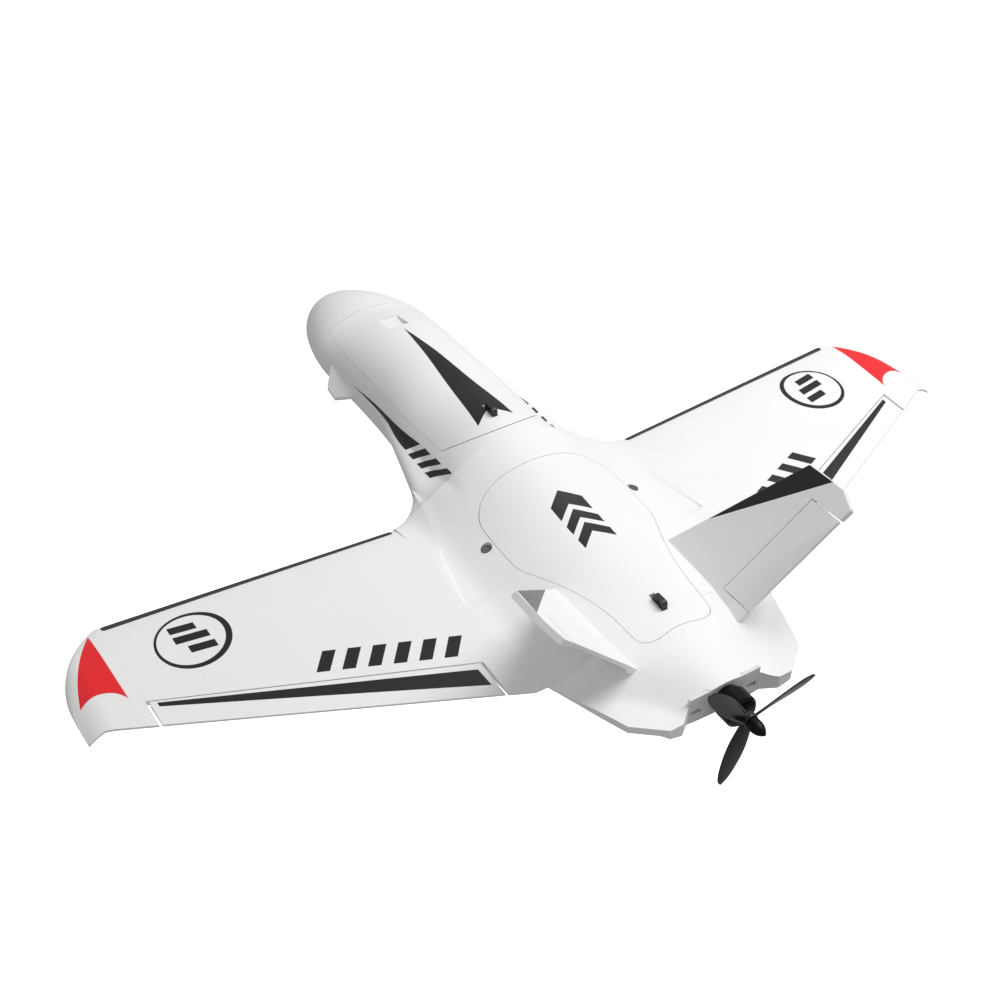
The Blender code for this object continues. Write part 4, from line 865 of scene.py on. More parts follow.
@dataclass(frozen=True)
class BodyForm:
    """The body's outer form: a rounded hull that flows into the wing stubs and the tail lobes."""

    wing: WingForm = field(default_factory=WingForm)
    nose_length: float = 0.3708
    end: float = 0.3055
    blend_y: float = -0.247
    nose_power: float = 1.5
    nose_tip_z: float = 0.014
    middle_z: float = 0.0515
    hull_power: float = 1.95
    belly_power: float = 2.2
    strake_rear: tuple[float, float] = (0.0824, -0.0345)
    strake_slope: float = 0.238
    strake_start: float = -0.160
    flare_start: float = -0.037
    wing_blend: tuple[float, float] = (-0.110, 0.030)
    blend_half: float = 0.110
    blend_power: float = 1.35
    hump_start: float = 0.215
    hump_half: float = 0.048
    sharpness: float = 2.2
    tail_side: float = 0.1075
    lobe_side: tuple[float, float] = (0.082, 0.2855)
    lobe_end: float = 0.058
    lobe_half: float = 0.0040
    lobe_rise: float = 0.060
    top_line: tuple = (
        (-0.247, 0.0885), (-0.200, 0.0990), (-0.150, 0.1020), (-0.085, 0.0985), (-0.035, 0.0980),
        (0.030, 0.0880), (0.100, 0.0765), (0.150, 0.0715), (0.210, 0.0665), (0.255, 0.0600),
        (0.3055, 0.0500),
    )
    belly_line: tuple = (
        (-0.247, 0.015), (-0.100, -0.003), (0.0, -0.003), (0.120, -0.003), (0.200, 0.003),
        (0.260, 0.016), (0.3055, 0.026),
    )
    waist_line: tuple = (
        (-0.247, 0.0605), (-0.150, 0.0575), (-0.085, 0.0600), (-0.035, 0.0600), (0.020, 0.0620),
    )

    def nose_scale(self, y: np.ndarray) -> np.ndarray:
        """1 over the body, falling on a rounded arch to 0 at the nose's tip.

        Args:
            y: places aft.

        Returns:
            Scales.
        """
        reach = np.maximum(self.blend_y - y, 0.0) / (self.nose_length + self.blend_y)
        return power_arch(reach, self.nose_power, 1 / self.nose_power)

    def wing_share(self, y: np.ndarray) -> np.ndarray:
        """0 over the nose, 1 where the body carries the wing.

        Args:
            y: places aft.

        Returns:
            Shares.
        """
        start, end = self.wing_blend
        return eased((y - start) / (end - start))

    def strake_half(self, y: np.ndarray) -> np.ndarray:
        """Half the span of the root strake, widening straight back.

        Args:
            y: places aft.

        Returns:
            Half widths.
        """
        return self.strake_rear[0] + self.strake_slope * (y - self.strake_rear[1])

    def hull_half(self, y: np.ndarray) -> np.ndarray:
        """Half the rounded hull's width.

        Args:
            y: places aft.

        Returns:
            Half widths.
        """
        return np.maximum(through(self.waist_line, y) * self.nose_scale(y), 1e-5)

    def half_width(self, y: np.ndarray) -> np.ndarray:
        """Half the body's width in plan, out to the wing joints and the tail's edges.

        Args:
            y: places aft.

        Returns:
            Half widths.
        """
        wing = self.wing
        strake = self.strake_half(y)
        reach = np.clip((y - self.flare_start) / (wing.root_lead - self.flare_start), 0.0, 1.0)
        flare = strake + (wing.root_x - strake) * (1 - np.sqrt(1 - reach**2))
        front = np.maximum(self.hull_half(y), flare)
        side_x, side_y = self.lobe_side
        tail_ys = [wing.root_tail, side_y, self.end]
        tail = np.interp(y, tail_ys, [self.tail_side, side_x, self.lobe_end])
        middle = np.where(y <= wing.root_tail, wing.root_x, tail)
        return np.where(y < wing.root_lead, front, middle)

    def stub_height(self, x: np.ndarray, y: np.ndarray) -> np.ndarray:
        """Half height of the wing stub: the wing's root section, measured from the strake.

        Args:
            x: distances out.
            y: places aft.

        Returns:
            Half heights.
        """
        wing = self.wing
        strake_lead = self.strake_rear[1] + (np.abs(x) - self.strake_rear[0]) / self.strake_slope
        strake = self.strake_half(y)
        outward = np.clip((np.abs(x) - strake) / (wing.root_x - strake), 0.0, 1.0)
        reach = np.sqrt(1 - (1 - outward) ** 2)
        fillet = self.flare_start + (wing.root_lead - self.flare_start) * reach
        lead = np.where(y < self.flare_start, strake_lead, np.minimum(strake_lead, fillet))
        lead = np.maximum(lead, self.strake_start)
        fraction = np.clip((y - lead) / (wing.root_tail - lead), 0.0, 1.0)
        ahead = wing.section(fraction, np.full_like(fraction, wing.root_half))
        rise = eased((y - wing.root_tail) / self.lobe_rise)
        behind = wing.tail_half + (self.lobe_half - wing.tail_half) * rise
        return np.where(y > wing.root_tail, behind, ahead)

    def heights(self, x: np.ndarray, y: np.ndarray) -> tuple[np.ndarray, np.ndarray]:
        """The lower and upper surface: hull and wing stub joined by a rounded sum of powers.

        Args:
            x: distances out.
            y: places aft.

        Returns:
            Lower and upper heights.
        """
        share = self.wing_share(y)
        scale = self.nose_scale(y)
        nose_mid = self.nose_tip_z + (self.middle_z - self.nose_tip_z) * scale
        middle = nose_mid * (1 - share) + self.wing.plane_z * share
        half = self.hull_half(y)
        tube = power_arch(x / half, self.hull_power, 1 / self.hull_power)
        narrowing = eased((y - self.hump_start) / (self.end - self.hump_start))
        wide = self.blend_half + (self.hump_half - self.blend_half) * narrowing
        reach = np.minimum(wide, self.half_width(y))
        bell = power_arch(x / reach, 2, self.blend_power)
        top = np.maximum(through(self.top_line, y) - middle, 0.0) * scale
        depth = np.maximum(middle - through(self.belly_line, y), 0.0) * scale
        stub = self.stub_height(x, y)
        crown = top * (tube * (1 - share) + bell * share)
        belly = depth * power_arch(x / half, self.belly_power, 1 / self.belly_power)
        rise = (crown**self.sharpness + stub**self.sharpness) ** (1 / self.sharpness)
        under = self.wing.under_share * stub
        drop = (belly**self.sharpness + under**self.sharpness) ** (1 / self.sharpness)
        return np.maximum(middle - drop, 0.0), middle + rise

    def top(self, y: float) -> float:
        """Height of the body's ridge.

        Args:
            y: a place aft.

        Returns:
            The height.
        """
        return float(self.heights(np.array([0.0]), np.array([y]))[1][0])

    def rings(self, columns: int, stations: int) -> np.ndarray:
        """Closed station outlines, close together round the nose and the wing's flare.

        Args:
            columns: points over each face.
            stations: how many stations the straight part has.

        Returns:
            An array of (station, point, 3).
        """
        wing = self.wing
        turn = np.linspace(0, math.pi / 2, 26)[1:]
        nose = -self.nose_length + (self.nose_length + self.blend_y) * (1 - np.cos(turn))
        flare = self.flare_start + (wing.root_lead - self.flare_start) * np.sin(turn)
        corners = [wing.root_tail, wing.root_tail + 1e-4, self.lobe_side[1], self.end]
        kept = np.concatenate([nose, flare, corners])
        even = np.linspace(self.blend_y, self.end, stations)[1:-1]
        apart = np.abs(even[:, None] - kept[None, :]).min(axis=1) > 0.0003
        y = np.unique(np.round(np.concatenate([kept, even[apart]]), 6))[:, None]
        half = self.half_width(y)
        x = -half * np.cos(np.linspace(0, math.pi, columns))[None, :]
        long = np.broadcast_to(y, x.shape)
        low, high = self.heights(x, long)
        upper = np.stack([x, long, high], axis=2)
        lower = np.stack([x, long, low], axis=2)
        return np.concatenate([upper, lower[:, ::-1]], axis=1)


# ============================================================================================
# Meshes
# ============================================================================================
def fold(points: np.ndarray, side: float) -> np.ndarray:
    """Points moved to one side of the aircraft.

    Args:
        points: an array whose last axis is x, y and z.
        side: 1 for port, -1 for starboard.

    Returns:
        The points.
    """
    return points * np.array([side, 1.0, 1.0])


def loft(name: str, rings: np.ndarray) -> bpy.types.Object:
    """A closed solid through equal rings, with fans on its first and last ring.

    Args:
        name: the object's name.
        rings: an array of (ring, point, 3).

    Returns:
        The object.
    """
    rows, columns = rings.shape[:2]
    index = np.arange(rows * columns).reshape(rows, columns)
    beside = np.roll(index, -1, axis=1)
    sides = np.stack([index[:-1], beside[:-1], beside[1:], index[1:]], axis=2).reshape(-1, 4)
    hubs = [rows * columns, rows * columns + 1]
    first = [(int(b), int(a), hubs[0]) for a, b in zip(index[0], beside[0])]
    last = [(int(a), int(b), hubs[1]) for a, b in zip(index[-1], beside[-1])]
    points = np.concatenate([rings.reshape(-1, 3), rings[[0, -1]].mean(axis=1)])
    return solid(name, points, sides.tolist() + first + last)


def solid(name: str, points: np.ndarray, faces: list) -> bpy.types.Object:
    """An object with its faces turned outwards.

    Args:
        name: the object's name.
        points: the corners.
        faces: corner numbers of each face.

    Returns:
        The object.
    """
    centre = points.mean(axis=0)
    volume = 0.0
    for face in faces:
        fan = points[list(face)] - centre
        for i in range(1, len(fan) - 1):
            volume += float(fan[0] @ np.cross(fan[i], fan[i + 1]))
    ordered = faces if volume > 0 else [tuple(reversed(face)) for face in faces]
    mesh = bpy.data.meshes.new(name)
    mesh.from_pydata(points.tolist(), [], [tuple(face) for face in ordered])
    mesh.update()
    obj = bpy.data.objects.new(name, mesh)
    bpy.context.scene.collection.objects.link(obj)
    return obj


def prism(name: str, outline: Sequence, low: float, high: float, axis: int = 2) -> bpy.types.Object:
    """A straight prism over an outline.

    Args:
        name: the object's name.
        outline: the corners' other two coordinates, in axis order.
        low: where the prism starts along its axis.
        high: where it ends.
        axis: 0 for across, 2 for upright.

    Returns:
        The object.
    """
    flat = np.array(outline, float)
    rings = [np.insert(flat, axis, level, axis=1) for level in (low, high)]
    count = len(flat)
    faces = [(i, (i + 1) % count, count + (i + 1) % count, count + i) for i in range(count)]
    faces += [tuple(range(count))[::-1], tuple(range(count, 2 * count))]
    return solid(name, np.concatenate(rings), faces)


def block(name: str, low: Sequence[float], high: Sequence[float]) -> bpy.types.Object:
    """A box between two corners.

    Args:
        name: the object's name.
        low: its lowest corner.
        high: its highest corner.

    Returns:
        The object.
    """
    outline = [(low[0], low[1]), (high[0], low[1]), (high[0], high[1]), (low[0], high[1])]
    return prism(name, outline, low[2], high[2])


def lathe(profile: Sequence[tuple[float, float]], turns: int) -> np.ndarray:
    """Rings of a turned solid: each profile point carried round the flight axis.

    Args:
        profile: (radius, place aft) pairs.
        turns: points round each ring.

    Returns:
        An array of (ring, point, 3).
    """
    radius, aft = np.array(profile).T[:, :, None]
    angle = np.linspace(0, 2 * math.pi, turns, endpoint=False)[None, :]
    wide = radius * np.cos(angle)
    tall = radius * np.sin(angle)
    return np.stack([wide, np.broadcast_to(aft, wide.shape), tall], axis=2)


def carve(obj: bpy.types.Object, tools: Sequence[bpy.types.Object], cut: Cut = Cut.AWAY) -> None:
    """Cut a piece with tools, keep the result as its mesh and drop the tools.

    Args:
        obj: the piece.
        tools: tools that don't overlap each other's work.
        cut: what each tool does.
    """
    for number, tool in enumerate(tools):
        modifier = obj.modifiers.new(f"cut_{number}", "BOOLEAN")
        modifier.operation = cut.value
        modifier.solver = "EXACT"
        modifier.object = tool
    bpy.context.view_layer.update()
    shown = obj.evaluated_get(bpy.context.evaluated_depsgraph_get())
    mesh = bpy.data.meshes.new_from_object(shown)
    obj.modifiers.clear()
    obj.data = mesh
    for tool in tools:
        bpy.data.objects.remove(tool, do_unlink=True)


def smooth(obj: bpy.types.Object, degrees: float = 32.0) -> None:
    """Shade a piece smoothly, with its corners kept sharp.

    Args:
        obj: the piece.
        degrees: the least angle of a sharp edge.
    """
    obj.data.shade_smooth()
    obj.data.set_sharp_from_angle(angle=math.radians(degrees))


def paint(obj: bpy.types.Object, finish) -> None:
    """Give a piece one finish.

    Args:
        obj: the piece.
        finish: any finish class's instance.
    """
    obj.data.materials.clear()
    obj.data.materials.append(finish.build(f"{obj.name}_finish"))


def detail(fine: int) -> int:
    """How finely to divide a surface.

    Args:
        fine: the count in a full build.

    Returns:
        The count.
    """
    return fine


# ============================================================================================
# Sub-assemblies
# ============================================================================================
@dataclass
class Hull:
    """The body with its two hatches, which share one outer form."""

    form: BodyForm = field(default_factory=BodyForm)
    seam: float = 0.0005
    ceiling: float = 0.2
    front_part_z: float = 0.075
    rear_part_z: float = 0.0505
    front_start: float = -0.256
    front_end: float = -0.0372
    lean: float = 1.10
    battery_bay: tuple[float, float, float] = (0.031, -0.225, -0.066)
    avionics_bay: tuple[float, float, float] = (0.033, 0.044, 0.192)
    pieces: dict = field(default_factory=dict)

    def build(self) -> None:
        """Make the three pieces and put each on its CAD body."""
        self.pieces = {
            "fuselage": (self.fuselage(), Body.AIRFRAME),
            "front_hatch": (self.front_hatch(), Body.NOSE_HATCH),
            "rear_hatch": (self.rear_hatch(), Body.TAIL_HATCH),
        }
        for node, (obj, body) in self.pieces.items():
            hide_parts(node)
            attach(obj, body.value)

    def dress(self) -> None:
        """Shade and paint the pieces."""
        finishes = {
            "fuselage": FUSELAGE_FOAM, "front_hatch": FRONT_HATCH_FOAM, "rear_hatch": REAR_HATCH_FOAM,
        }
        for node, finish in finishes.items():
            obj = self.pieces[node][0]
            smooth(obj)
            paint(obj, finish)

    def outer(self, name: str) -> bpy.types.Object:
        """The whole outer form.

        Args:
            name: the object's name.

        Returns:
            The object.
        """
        return loft(name, self.form.rings(detail(129), detail(230)))

    def front_tool(self, grow: float) -> bpy.types.Object:
        """The nose hatch's form, with a rear edge that leans aft.

        Args:
            grow: how much larger than the hatch it is.

        Returns:
            The tool.
        """
        low = self.front_part_z - grow
        start = self.front_start - grow
        end = self.front_end + grow * 1.5 - self.lean * grow
        tall = self.ceiling
        outline = [(start, low), (end, low), (end + self.lean * (tall - low), tall), (start, tall)]
        return prism("front_tool", outline, -0.13, 0.13, axis=0)

    def rear_tool(self, grow: float) -> bpy.types.Object:
        """The tail hatch's form: wide at the shoulders and narrow between the fins.

        Args:
            grow: how much larger than the hatch it is.

        Returns:
            The tool.
        """
        half = np.array((
            (0.0, 0.030), (0.032, 0.030), (0.043, 0.0315), (0.053, 0.0355), (0.061, 0.0425),
            (0.0660, 0.052), (0.0675, 0.062), (0.0675, 0.107), (0.0655, 0.1155), (0.0575, 0.134),
            (0.0515, 0.148), (0.0465, 0.162), (0.0425, 0.176), (0.0395, 0.190), (0.0375, 0.204),
            (0.0365, 0.218), (0.0355, 0.2305), (0.0325, 0.235), (0.027, 0.2385), (0.019, 0.239),
            (0.011, 0.2375), (0.0, 0.2365),
        ))
        half = self.rounded(half)
        outline = np.concatenate([half, half[-2:0:-1] * (-1, 1)])
        ahead = np.roll(outline, -1, axis=0) - np.roll(outline, 1, axis=0)
        outward = np.stack([ahead[:, 1], -ahead[:, 0]], axis=1)
        outward /= np.linalg.norm(outward, axis=1, keepdims=True)
        return prism("rear_tool", outline + outward * grow, self.rear_part_z - grow, self.ceiling)

    @staticmethod
    def rounded(half: np.ndarray) -> np.ndarray:
        """The half outline with its corners cut twice.

        Args:
            half: the outline's corners from the front to the rear.

        Returns:
            The rounder outline.
        """
        for _ in range(2):
            near = half[:-1] * 0.75 + half[1:] * 0.25
            far = half[:-1] * 0.25 + half[1:] * 0.75
            middle = np.stack([near, far], axis=1).reshape(-1, 2)
            half = np.concatenate([half[:1], middle, half[-1:]])
        return half

    def fuselage(self) -> bpy.types.Object:
        """The body less its hatches, bays, wire channels and the notch between the tail lobes.

        Returns:
            The object.
        """
        body = self.outer("fuselage_skin")
        past = self.form.end + 0.01
        notch = [(-0.0583, past), (-0.035, 0.2965), (0.035, 0.2965), (0.0583, past)]
        carve(body, [
            self.front_tool(self.seam), self.rear_tool(self.seam),
            prism("notch", notch, -0.2, 0.2),
            self.bay("battery_bay", self.battery_bay, 0.026, self.front_part_z + 0.01),
            self.bay("avionics_bay", self.avionics_bay, 0.011, self.rear_part_z + 0.01),
            block("channel_front", (-0.010, -0.071, 0.031), (0.010, 0.049, 0.045)),
            block("channel_rear", (-0.010, 0.187, 0.031), (0.010, 0.3065, 0.045)),
            self.around("motor_mount"),
        ])
        carve(body, [self.lock_seat(name) for name in SIDES])
        return body

    @staticmethod
    def around(node: str, gap: float = 0.0003) -> bpy.types.Object:
        """The room that a CAD node takes, with a small gap.

        Args:
            node: the CAD node.
            gap: the gap on every side.

        Returns:
            The tool.
        """
        low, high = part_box(node)
        room = Vector((gap, gap, gap))
        return block(f"{node}_room", low - room, high + room)

    @staticmethod
    def lock_seat(name: str) -> bpy.types.Object:
        """The round seat of a spar lock, open above.

        Args:
            name: the side's name.

        Returns:
            The tool.
        """
        low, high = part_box(f"spar_lock_{name}")
        centre = (low + high) / 2
        radius = (high.x - low.x) / 2 + 0.0002
        turn = np.linspace(0, 2 * math.pi, 48, endpoint=False)
        outline = np.stack([centre.x + radius * np.cos(turn), centre.y + radius * np.sin(turn)], 1)
        return prism(f"lock_seat_{name}", outline, low.z, high.z + 0.02)

    @staticmethod
    def bay(name: str, bounds: tuple[float, float, float], floor: float, top: float):
        """A bay's room.

        Args:
            name: the tool's name.
            bounds: half width, start and end.
            floor: its floor's height.
            top: its top's height.

        Returns:
            The tool.
        """
        half, start, end = bounds
        return block(name, (-half, start, floor), (half, end, top))

    def pocket(self, bounds: tuple[float, float, float], part_z: float) -> bpy.types.Object:
        """The hollow in a hatch's lower face.

        Args:
            bounds: the bay's half width, start and end.
            part_z: the hatch's parting height.

        Returns:
            The tool.
        """
        half, start, end = bounds
        low = (-half + 0.008, start + 0.024, part_z - 0.01)
        return block("pocket", low, (half - 0.008, end - 0.008, part_z + 0.010))

    def slot(self, y: float) -> bpy.types.Object:
        """The slot that a latch tab runs in.

        Args:
            y: the tab's place aft.

        Returns:
            The tool.
        """
        floor = self.form.top(y) - 0.0074
        return block("slot", (-0.00265, y - 0.0114, floor), (0.00265, y + 0.0074, self.ceiling))

    def front_hatch(self) -> bpy.types.Object:
        """The nose hatch with its hollow, its latch slot and its cooling ramp.

        Returns:
            The object.
        """
        hatch = self.outer("front_hatch_skin")
        carve(hatch, [self.front_tool(0.0)], Cut.WITHIN)
        ramp = [
            (-0.221, self.form.top(-0.221) - 0.0012), (-0.197, self.form.top(-0.197) - 0.0055),
            (-0.197, self.ceiling), (-0.221, self.ceiling),
        ]
        carve(hatch, [
            self.pocket(self.battery_bay, self.front_part_z), self.slot(-0.0355),
            prism("ramp", ramp, -0.010, 0.010, axis=0),
        ])
        return hatch

    def rear_hatch(self) -> bpy.types.Object:
        """The tail hatch with its hollow and its latch slot.

        Returns:
            The object.
        """
        hatch = self.outer("rear_hatch_skin")
        carve(hatch, [self.rear_tool(0.0)], Cut.WITHIN)
        carve(hatch, [self.pocket(self.avionics_bay, self.rear_part_z), self.slot(0.2120)])
        return hatch


@dataclass
class Wing:
    """The two wing panels, whose elevons and servos sit in cut-outs."""

    form: WingForm = field(default_factory=WingForm)
    elevon_inner: float = 0.1390
    elevon_outer: float = 0.3705
    hinge_inner_y: float = 0.1708
    hinge_sweep: float = -0.4298
    hinge_gap: float = 0.0004
    end_gap: float = 0.0022
    panels: dict = field(default_factory=dict)

    def build(self) -> None:
        """Make both panels."""
        for name, side in SIDES.items():
            node = f"wing_panel_{name}"
            rings = fold(self.form.rings(detail(81), detail(120)), side)
            panel = loft(f"{node}_skin", rings)
            carve(panel, [self.notch(side), self.servo_pocket(name, side)])
            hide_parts(node)
            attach(panel, Body.AIRFRAME.value)
            self.panels[name] = panel

    def dress(self) -> None:
        """Shade and paint both panels."""
        for panel in self.panels.values():
            smooth(panel)
            paint(panel, WING_FOAM)

    def hinge_y(self, x: float) -> float:
        """The hinge line in plan.

        Args:
            x: a distance out.

        Returns:
            The place aft.
        """
        return self.hinge_inner_y + self.hinge_sweep * (x - self.elevon_inner)

    def notch(self, side: float) -> bpy.types.Object:
        """The room that the elevon takes behind its hinge line.

        Args:
            side: 1 for port, -1 for starboard.

        Returns:
            The tool.
        """
        ends = (self.elevon_inner - self.end_gap, self.elevon_outer + self.end_gap)
        outline = [(x * side, self.hinge_y(x) - self.hinge_gap) for x in ends]
        outline += [(x * side, self.hinge_y(x) + 0.08) for x in reversed(ends)]
        return prism("notch", outline, -0.2, 0.2)

    def servo_pocket(self, name: str, side: float) -> bpy.types.Object:
        """The servo's room, open below, turned to run along the hinge.

        Args:
            name: the side's name.
            side: 1 for port, -1 for starboard.

        Returns:
            The tool.
        """
        low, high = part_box(f"elevon_servo_{name}")
        centre = np.array([(low.x + high.x) / 2 * side, (low.y + high.y) / 2])
        along = np.array([1.0, self.hinge_sweep]) / math.hypot(1.0, self.hinge_sweep)
        aft = np.array([-along[1], along[0]])
        reach = ((-0.0117, -0.0119), (0.0180, -0.0119), (0.0180, 0.0119), (-0.0117, 0.0119))
        outline = [(centre + along * a + aft * b) * (side, 1.0) for a, b in reach]
        return prism("servo_pocket", outline, -0.05, high.z + 0.0004)


@dataclass
class Strips:
    """The dark strips bonded just behind the leading edges."""

    form: WingForm = field(default_factory=WingForm)
    inner: float = 0.1215
    outer: float = 0.3730
    setback: float = 0.0016
    width: float = 0.0070
    height: float = 0.0008
    sink: float = 0.0010
    pieces: dict = field(default_factory=dict)

    def build(self) -> None:
        """Make both strips."""
        for name, side in SIDES.items():
            node = f"leading_edge_strip_{name}"
            strip = loft(f"{node}_skin", fold(self.rings(), side))
            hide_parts(node)
            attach(strip, Body.AIRFRAME.value)
            self.pieces[name] = strip

    def dress(self) -> None:
        """Shade and paint both strips."""
        for strip in self.pieces.values():
            smooth(strip, 50.0)
            paint(strip, STRIP_BLACK)

    def rings(self) -> np.ndarray:
        """The strip's sections: it lies on the wing, with a rounded top and a rounded outer end.

        Returns:
            An array of (section, point, 3).
        """
        x = np.linspace(self.inner, self.outer, detail(160))[:, None]
        ends = np.clip(np.minimum(x - self.inner, self.outer - x) / (self.width / 2), 0.0, 1.0)
        narrow = np.sqrt(1 - (1 - ends) ** 2) * 0.98 + 0.02
        share = np.linspace(-1, 1, 15)[None, :]
        middle = self.form.lead(x) + self.setback + self.width / 2
        y = middle + share * narrow * self.width / 2
        wide = np.broadcast_to(x, y.shape)
        surface = self.form.heights(wide, y)[1]
        top = surface + self.height * (1 - share**6) * narrow
        upper = np.stack([wide, y, top], axis=2)
        lower = np.stack([wide, y, surface - self.sink], axis=2)
        return np.concatenate([upper, lower[:, ::-1]], axis=1)


@dataclass
class Propulsion:
    """The propeller and the pointed nut, finely turned and lofted."""

    blades: int = 3
    phase: float = math.radians(48.6)
    radius: float = 0.0640
    hub_radius: float = 0.0065
    hub_length: float = 0.0070
    chord: float = 0.0150
    thickness: float = 0.0022
    pitch_root: float = -math.radians(36)
    pitch_tip: float = -math.radians(7)
    nut_radius: float = 0.0056
    nut_length: float = 0.0160
    axis_z: float = 0.038
    pieces: dict = field(default_factory=dict)

    def build(self) -> None:
        """Make the turning pieces and put them on the rotor."""
        hub_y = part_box("propeller_nut")[0].y - 0.0003 - self.hub_length
        rings = [self.blade(hub_y, number) for number in range(self.blades)]
        parts = [loft(f"blade_{number}", ring) for number, ring in enumerate(rings)]
        parts.append(loft("hub", self.at(lathe(self.hub_profile(), 96), hub_y)))
        propeller = self.joined("propeller_skin", parts)
        nut_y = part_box("propeller_nut")[0].y
        nut = loft("propeller_nut_skin", self.at(lathe(self.nut_profile(), 96), nut_y))
        self.pieces = {"propeller": propeller, "propeller_nut": nut}
        for node, obj in self.pieces.items():
            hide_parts(node)
            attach(obj, Body.ROTOR.value)

    def dress(self) -> None:
        """Shade and paint the turning pieces."""
        for node, finish, slot in (
            ("propeller", GLOSS_BLACK, "gloss_black"), ("propeller_nut", ANODISED, "motor_metal"),
        ):
            smooth(self.pieces[node], 40.0)
            paint(self.pieces[node], finish)

    def at(self, rings: np.ndarray, y: float) -> np.ndarray:
        """Rings moved onto the motor's axis.

        Args:
            rings: the rings round the origin.
            y: how far aft they go.

        Returns:
            The rings.
        """
        return rings + np.array([0.0, y, self.axis_z])

    def hub_profile(self) -> list[tuple[float, float]]:
        """The hub's outline: a short cylinder with rounded rims.

        Returns:
            (radius, place aft) pairs.
        """
        turn = np.linspace(0, math.pi / 2, 7)
        rim = 0.0008
        front = [(self.hub_radius - rim + rim * math.sin(t), rim - rim * math.cos(t)) for t in turn]
        rear = [(radius, self.hub_length - y) for radius, y in reversed(front)]
        return front + rear

    def nut_profile(self) -> list[tuple[float, float]]:
        """The nut's outline: straight for a third, then a bullet curve by a power of a cosine.

        Returns:
            (radius, place aft) pairs.
        """
        straight = self.nut_length * 0.35
        shares = np.linspace(0, 1, 24)[:-1]
        curve = [
            (self.nut_radius * math.cos(math.pi / 2 * s) ** 0.75,
             straight + (self.nut_length - straight) * s)
            for s in shares
        ]
        return [(self.nut_radius - 0.0004, 0.0), (self.nut_radius, 0.0004)] + curve + [
            (0.0001, self.nut_length)
        ]

    def blade(self, hub_y: float, number: int) -> np.ndarray:
        """A blade's sections: a thin cambered foil, turned to a pitch that falls towards the tip.

        Args:
            hub_y: the hub's front face.
            number: which blade.

        Returns:
            An array of (section, point, 3).
        """
        angle = self.phase + 2 * math.pi * number / self.blades
        share = np.linspace(0, 1, detail(48))[:, None]
        start = self.hub_radius * 0.6
        radius = start + (self.radius - start) * np.sin(share * math.pi / 2)
        share = (radius - start) / (self.radius - start)
        knots = (0.0, 0.17, 0.34, 0.5, 0.67, 0.84, 1.0)
        chords = (0.55, 0.78, 0.95, 1.0, 0.94, 0.76, 0.36)
        chord = self.chord * through(tuple(zip(knots, chords)), share)
        chord = chord * power_arch(np.maximum(share - 0.93, 0.0) / 0.0705, 2, 0.5)
        turn = np.linspace(0, 2 * math.pi, detail(40), endpoint=False)[None, :]
        along = np.cos(turn) * 0.5
        depth = self.thickness * (1 - 0.45 * share) * 0.5
        across = np.sin(turn) * depth * (1.1 - 0.5 * along) + depth * 0.35 * (1 - 4 * along**2)
        pitch = self.pitch_root + (self.pitch_tip - self.pitch_root) * share**0.7
        u = along * chord
        out = np.array([math.cos(angle), 0.0, math.sin(angle)])
        round_way = np.array([-math.sin(angle), 0.0, math.cos(angle)])
        aft = np.array([0.0, 1.0, 0.0])
        ring = (
            (radius + 0 * u)[..., None] * out
            + (u * np.cos(pitch) - across * np.sin(pitch))[..., None] * round_way
            + (u * np.sin(pitch) + across * np.cos(pitch))[..., None] * aft
        )
        return self.at(ring, hub_y + self.hub_length / 2)

    @staticmethod
    def joined(name: str, parts: Sequence[bpy.types.Object]) -> bpy.types.Object:
        """Several closed pieces as one object.

        Args:
            name: the new object's name.
            parts: the pieces.

        Returns:
            The object.
        """
        points: list = []
        faces: list = []
        for part in parts:
            base = len(points)
            points += [tuple(v.co) for v in part.data.vertices]
            faces += [tuple(base + v for v in face.vertices) for face in part.data.polygons]
            bpy.data.objects.remove(part, do_unlink=True)
        mesh = bpy.data.meshes.new(name)
        mesh.from_pydata(points, [], faces)
        obj = bpy.data.objects.new(name, mesh)
        bpy.context.scene.collection.objects.link(obj)
        return obj


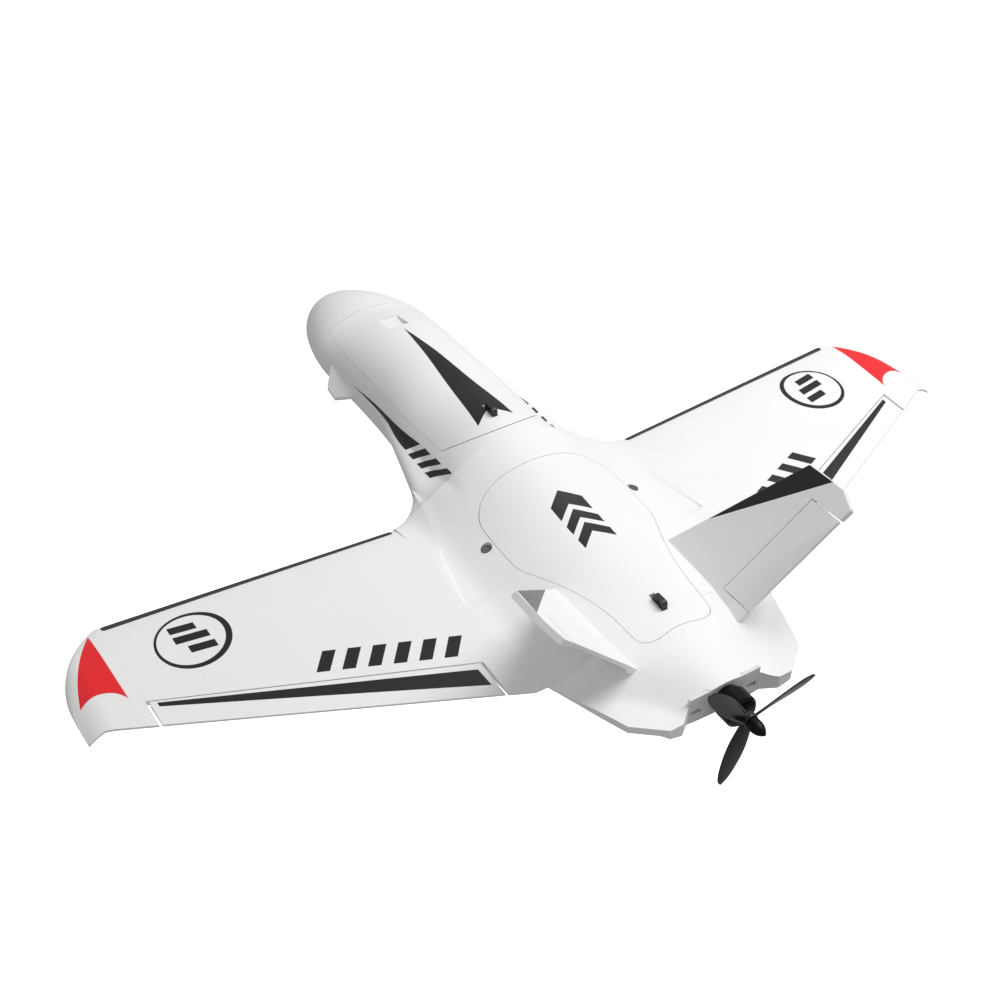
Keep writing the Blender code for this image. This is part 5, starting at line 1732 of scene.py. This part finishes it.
@dataclass
class Fittings:
    """The sub-parts that keep their CAD shapes, with rounded edges and new finishes."""

    foam_rounding: float = 0.0011

    def build(self) -> None:
        """Round the edges of the fins, rudders, elevons, fairings and latches."""
        for name in SIDES:
            self.round_edges(f"fin_{name}", self.foam_rounding, 5)
            self.round_edges(f"rudder_{name}", 0.0004, 3)
            self.round_edges(f"elevon_{name}", 0.0003, 3)
            self.round_edges(f"side_fairing_{name}", 0.0008, 4)
        for node in ("front_latch", "rear_latch"):
            self.round_edges(node, 0.0002, 2)

    @staticmethod
    def round_edges(node: str, width: float, segments: int) -> None:
        """Round a CAD node's sharp edges without changing its mesh.

        Args:
            node: the CAD node.
            width: the rounding's width.
            segments: how finely it is divided.
        """
        obj = bpy.data.objects[node]
        weld = obj.modifiers.new("weld", "WELD")
        weld.merge_threshold = 1e-6
        bevel = obj.modifiers.new("rounding", "BEVEL")
        bevel.width = width
        bevel.segments = segments
        bevel.limit_method = "ANGLE"
        bevel.angle_limit = math.radians(40)
        bevel.harden_normals = False

    def dress(self) -> None:
        """Paint every CAD node that is shown."""
        for finish, nodes in self.finishes():
            for node in nodes:
                paint(bpy.data.objects[node], finish)

    @staticmethod
    def finishes() -> list[tuple[object, list[str]]]:
        """Each finish with its nodes.

        Returns:
            (finish, node names) pairs.
        """
        def both(*stems: str) -> list[str]:
            return [f"{stem}_{name}" for stem in stems for name in SIDES]

        return [
            (ELEVON_FOAM, both("elevon")),
            (FIN_FOAM, both("fin", "rudder")),
            (PLAIN_FOAM, both("side_fairing")),
            (SATIN_BLACK, both("elevon_servo") + ["front_latch", "rear_latch"]),
            (WHITE_PLASTIC, both("servo_arm", "elevon_horn") + ["motor_mount"]),
            (STEEL, both("elevon_pushrod")),
            (GREY_PLASTIC, both("spar_lock") + ["speed_controller"]),
            (CARBON, ["main_spar", "rear_spar", "battery_tray"]),
            (ANODISED, ["motor_bell", "motor_stator"]),
            (CIRCUIT, ["flight_controller", "receiver"]),
            (WRAP, ["battery"]),
        ]


@dataclass
class Studio:
    """Camera, pale surroundings and soft light."""

    place: tuple[float, float, float] = (0.58470, 0.90454, 0.90303)
    back: tuple[float, float, float] = (0.4138, 0.6550, 0.6323)
    lens: float = 56.59
    floor_z: float = -0.55
    sky: float = 0.45
    key_power: float = 34.5
    bounce: float = 0.5

    def build(self) -> None:
        """Set up the camera, the floor, the world and the lamp."""
        self.camera()
        self.floor()
        self.world()
        self.key()

    def camera(self) -> None:
        """The camera: 36 mm wide sensor, level, looking down on the port quarter."""
        data = bpy.data.cameras.new("camera")
        data.lens = self.lens
        data.sensor_width = 36.0
        data.clip_end = 50.0
        obj = bpy.data.objects.new("camera", data)
        obj.location = self.place
        obj.rotation_mode = "QUATERNION"
        obj.rotation_quaternion = (-Vector(self.back)).to_track_quat("-Z", "Y")
        bpy.context.scene.collection.objects.link(obj)
        bpy.context.scene.camera = obj

    def floor(self) -> None:
        """A wide white floor far below the aircraft."""
        half = 30.0
        points = [(-half, -half, 0), (half, -half, 0), (half, half, 0), (-half, half, 0)]
        mesh = bpy.data.meshes.new("floor")
        mesh.from_pydata([(x, y, self.floor_z) for x, y, _ in points], [], [(0, 1, 2, 3)])
        obj = bpy.data.objects.new("floor", mesh)
        bpy.context.scene.collection.objects.link(obj)
        graph = Graph("floor_finish")
        vector = graph.place()[0]
        mottle = graph.add("TexNoise", links={0: vector, "Scale": 2.0}).outputs[0]
        white = graph.math("MULTIPLY_ADD", mottle, 0.004, 0.996)
        colour = graph.add("CombineColor", links={0: white, 1: white, 2: white}).outputs[0]
        dull = (self.bounce, self.bounce, self.bounce, 1.0)
        diffuse = graph.add("BsdfDiffuse", links={"Color": dull}).outputs[0]
        glow = graph.add("Emission", links={"Color": colour, "Strength": 1.6}).outputs[0]
        seen = graph.add("LightPath").outputs["Is Camera Ray"]
        mixed = graph.add("MixShader", links={0: seen, 1: diffuse, 2: glow}).outputs[0]
        obj.data.materials.append(graph.finish(mixed))

    def world(self) -> None:
        """An even white sky."""
        world = bpy.data.worlds.new("studio")
        world.use_nodes = True
        background = world.node_tree.nodes["Background"]
        background.inputs["Color"].default_value = srgb("FFFFFF")
        background.inputs["Strength"].default_value = self.sky
        bpy.context.scene.world = world

    def key(self) -> None:
        """A large soft lamp high on the starboard side."""
        data = bpy.data.lights.new("key", "AREA")
        data.energy = self.key_power
        data.shape = "DISK"
        data.size = 1.6
        obj = bpy.data.objects.new("key", data)
        direction = Vector((-0.5, 0.1, 0.86)).normalized()
        obj.location = direction * 2.2
        obj.rotation_mode = "QUATERNION"
        obj.rotation_quaternion = (-direction).to_track_quat("-Z", "Y")
        bpy.context.scene.collection.objects.link(obj)


def main() -> None:
    """Build the scene, sub-assembly by sub-assembly."""
    logging.basicConfig(level=logging.INFO, format="%(name)s: %(message)s")
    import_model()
    assemblies = (Hull(), Wing(), Strips(), Propulsion(), Fittings())
    for assembly in assemblies:
        assembly.build()
        assembly.dress()
        LOG.info("built %s", type(assembly).__name__)
    Studio().build()
    bpy.context.scene.view_settings.view_transform = "Standard"


if __name__ == "__main__":
    main()
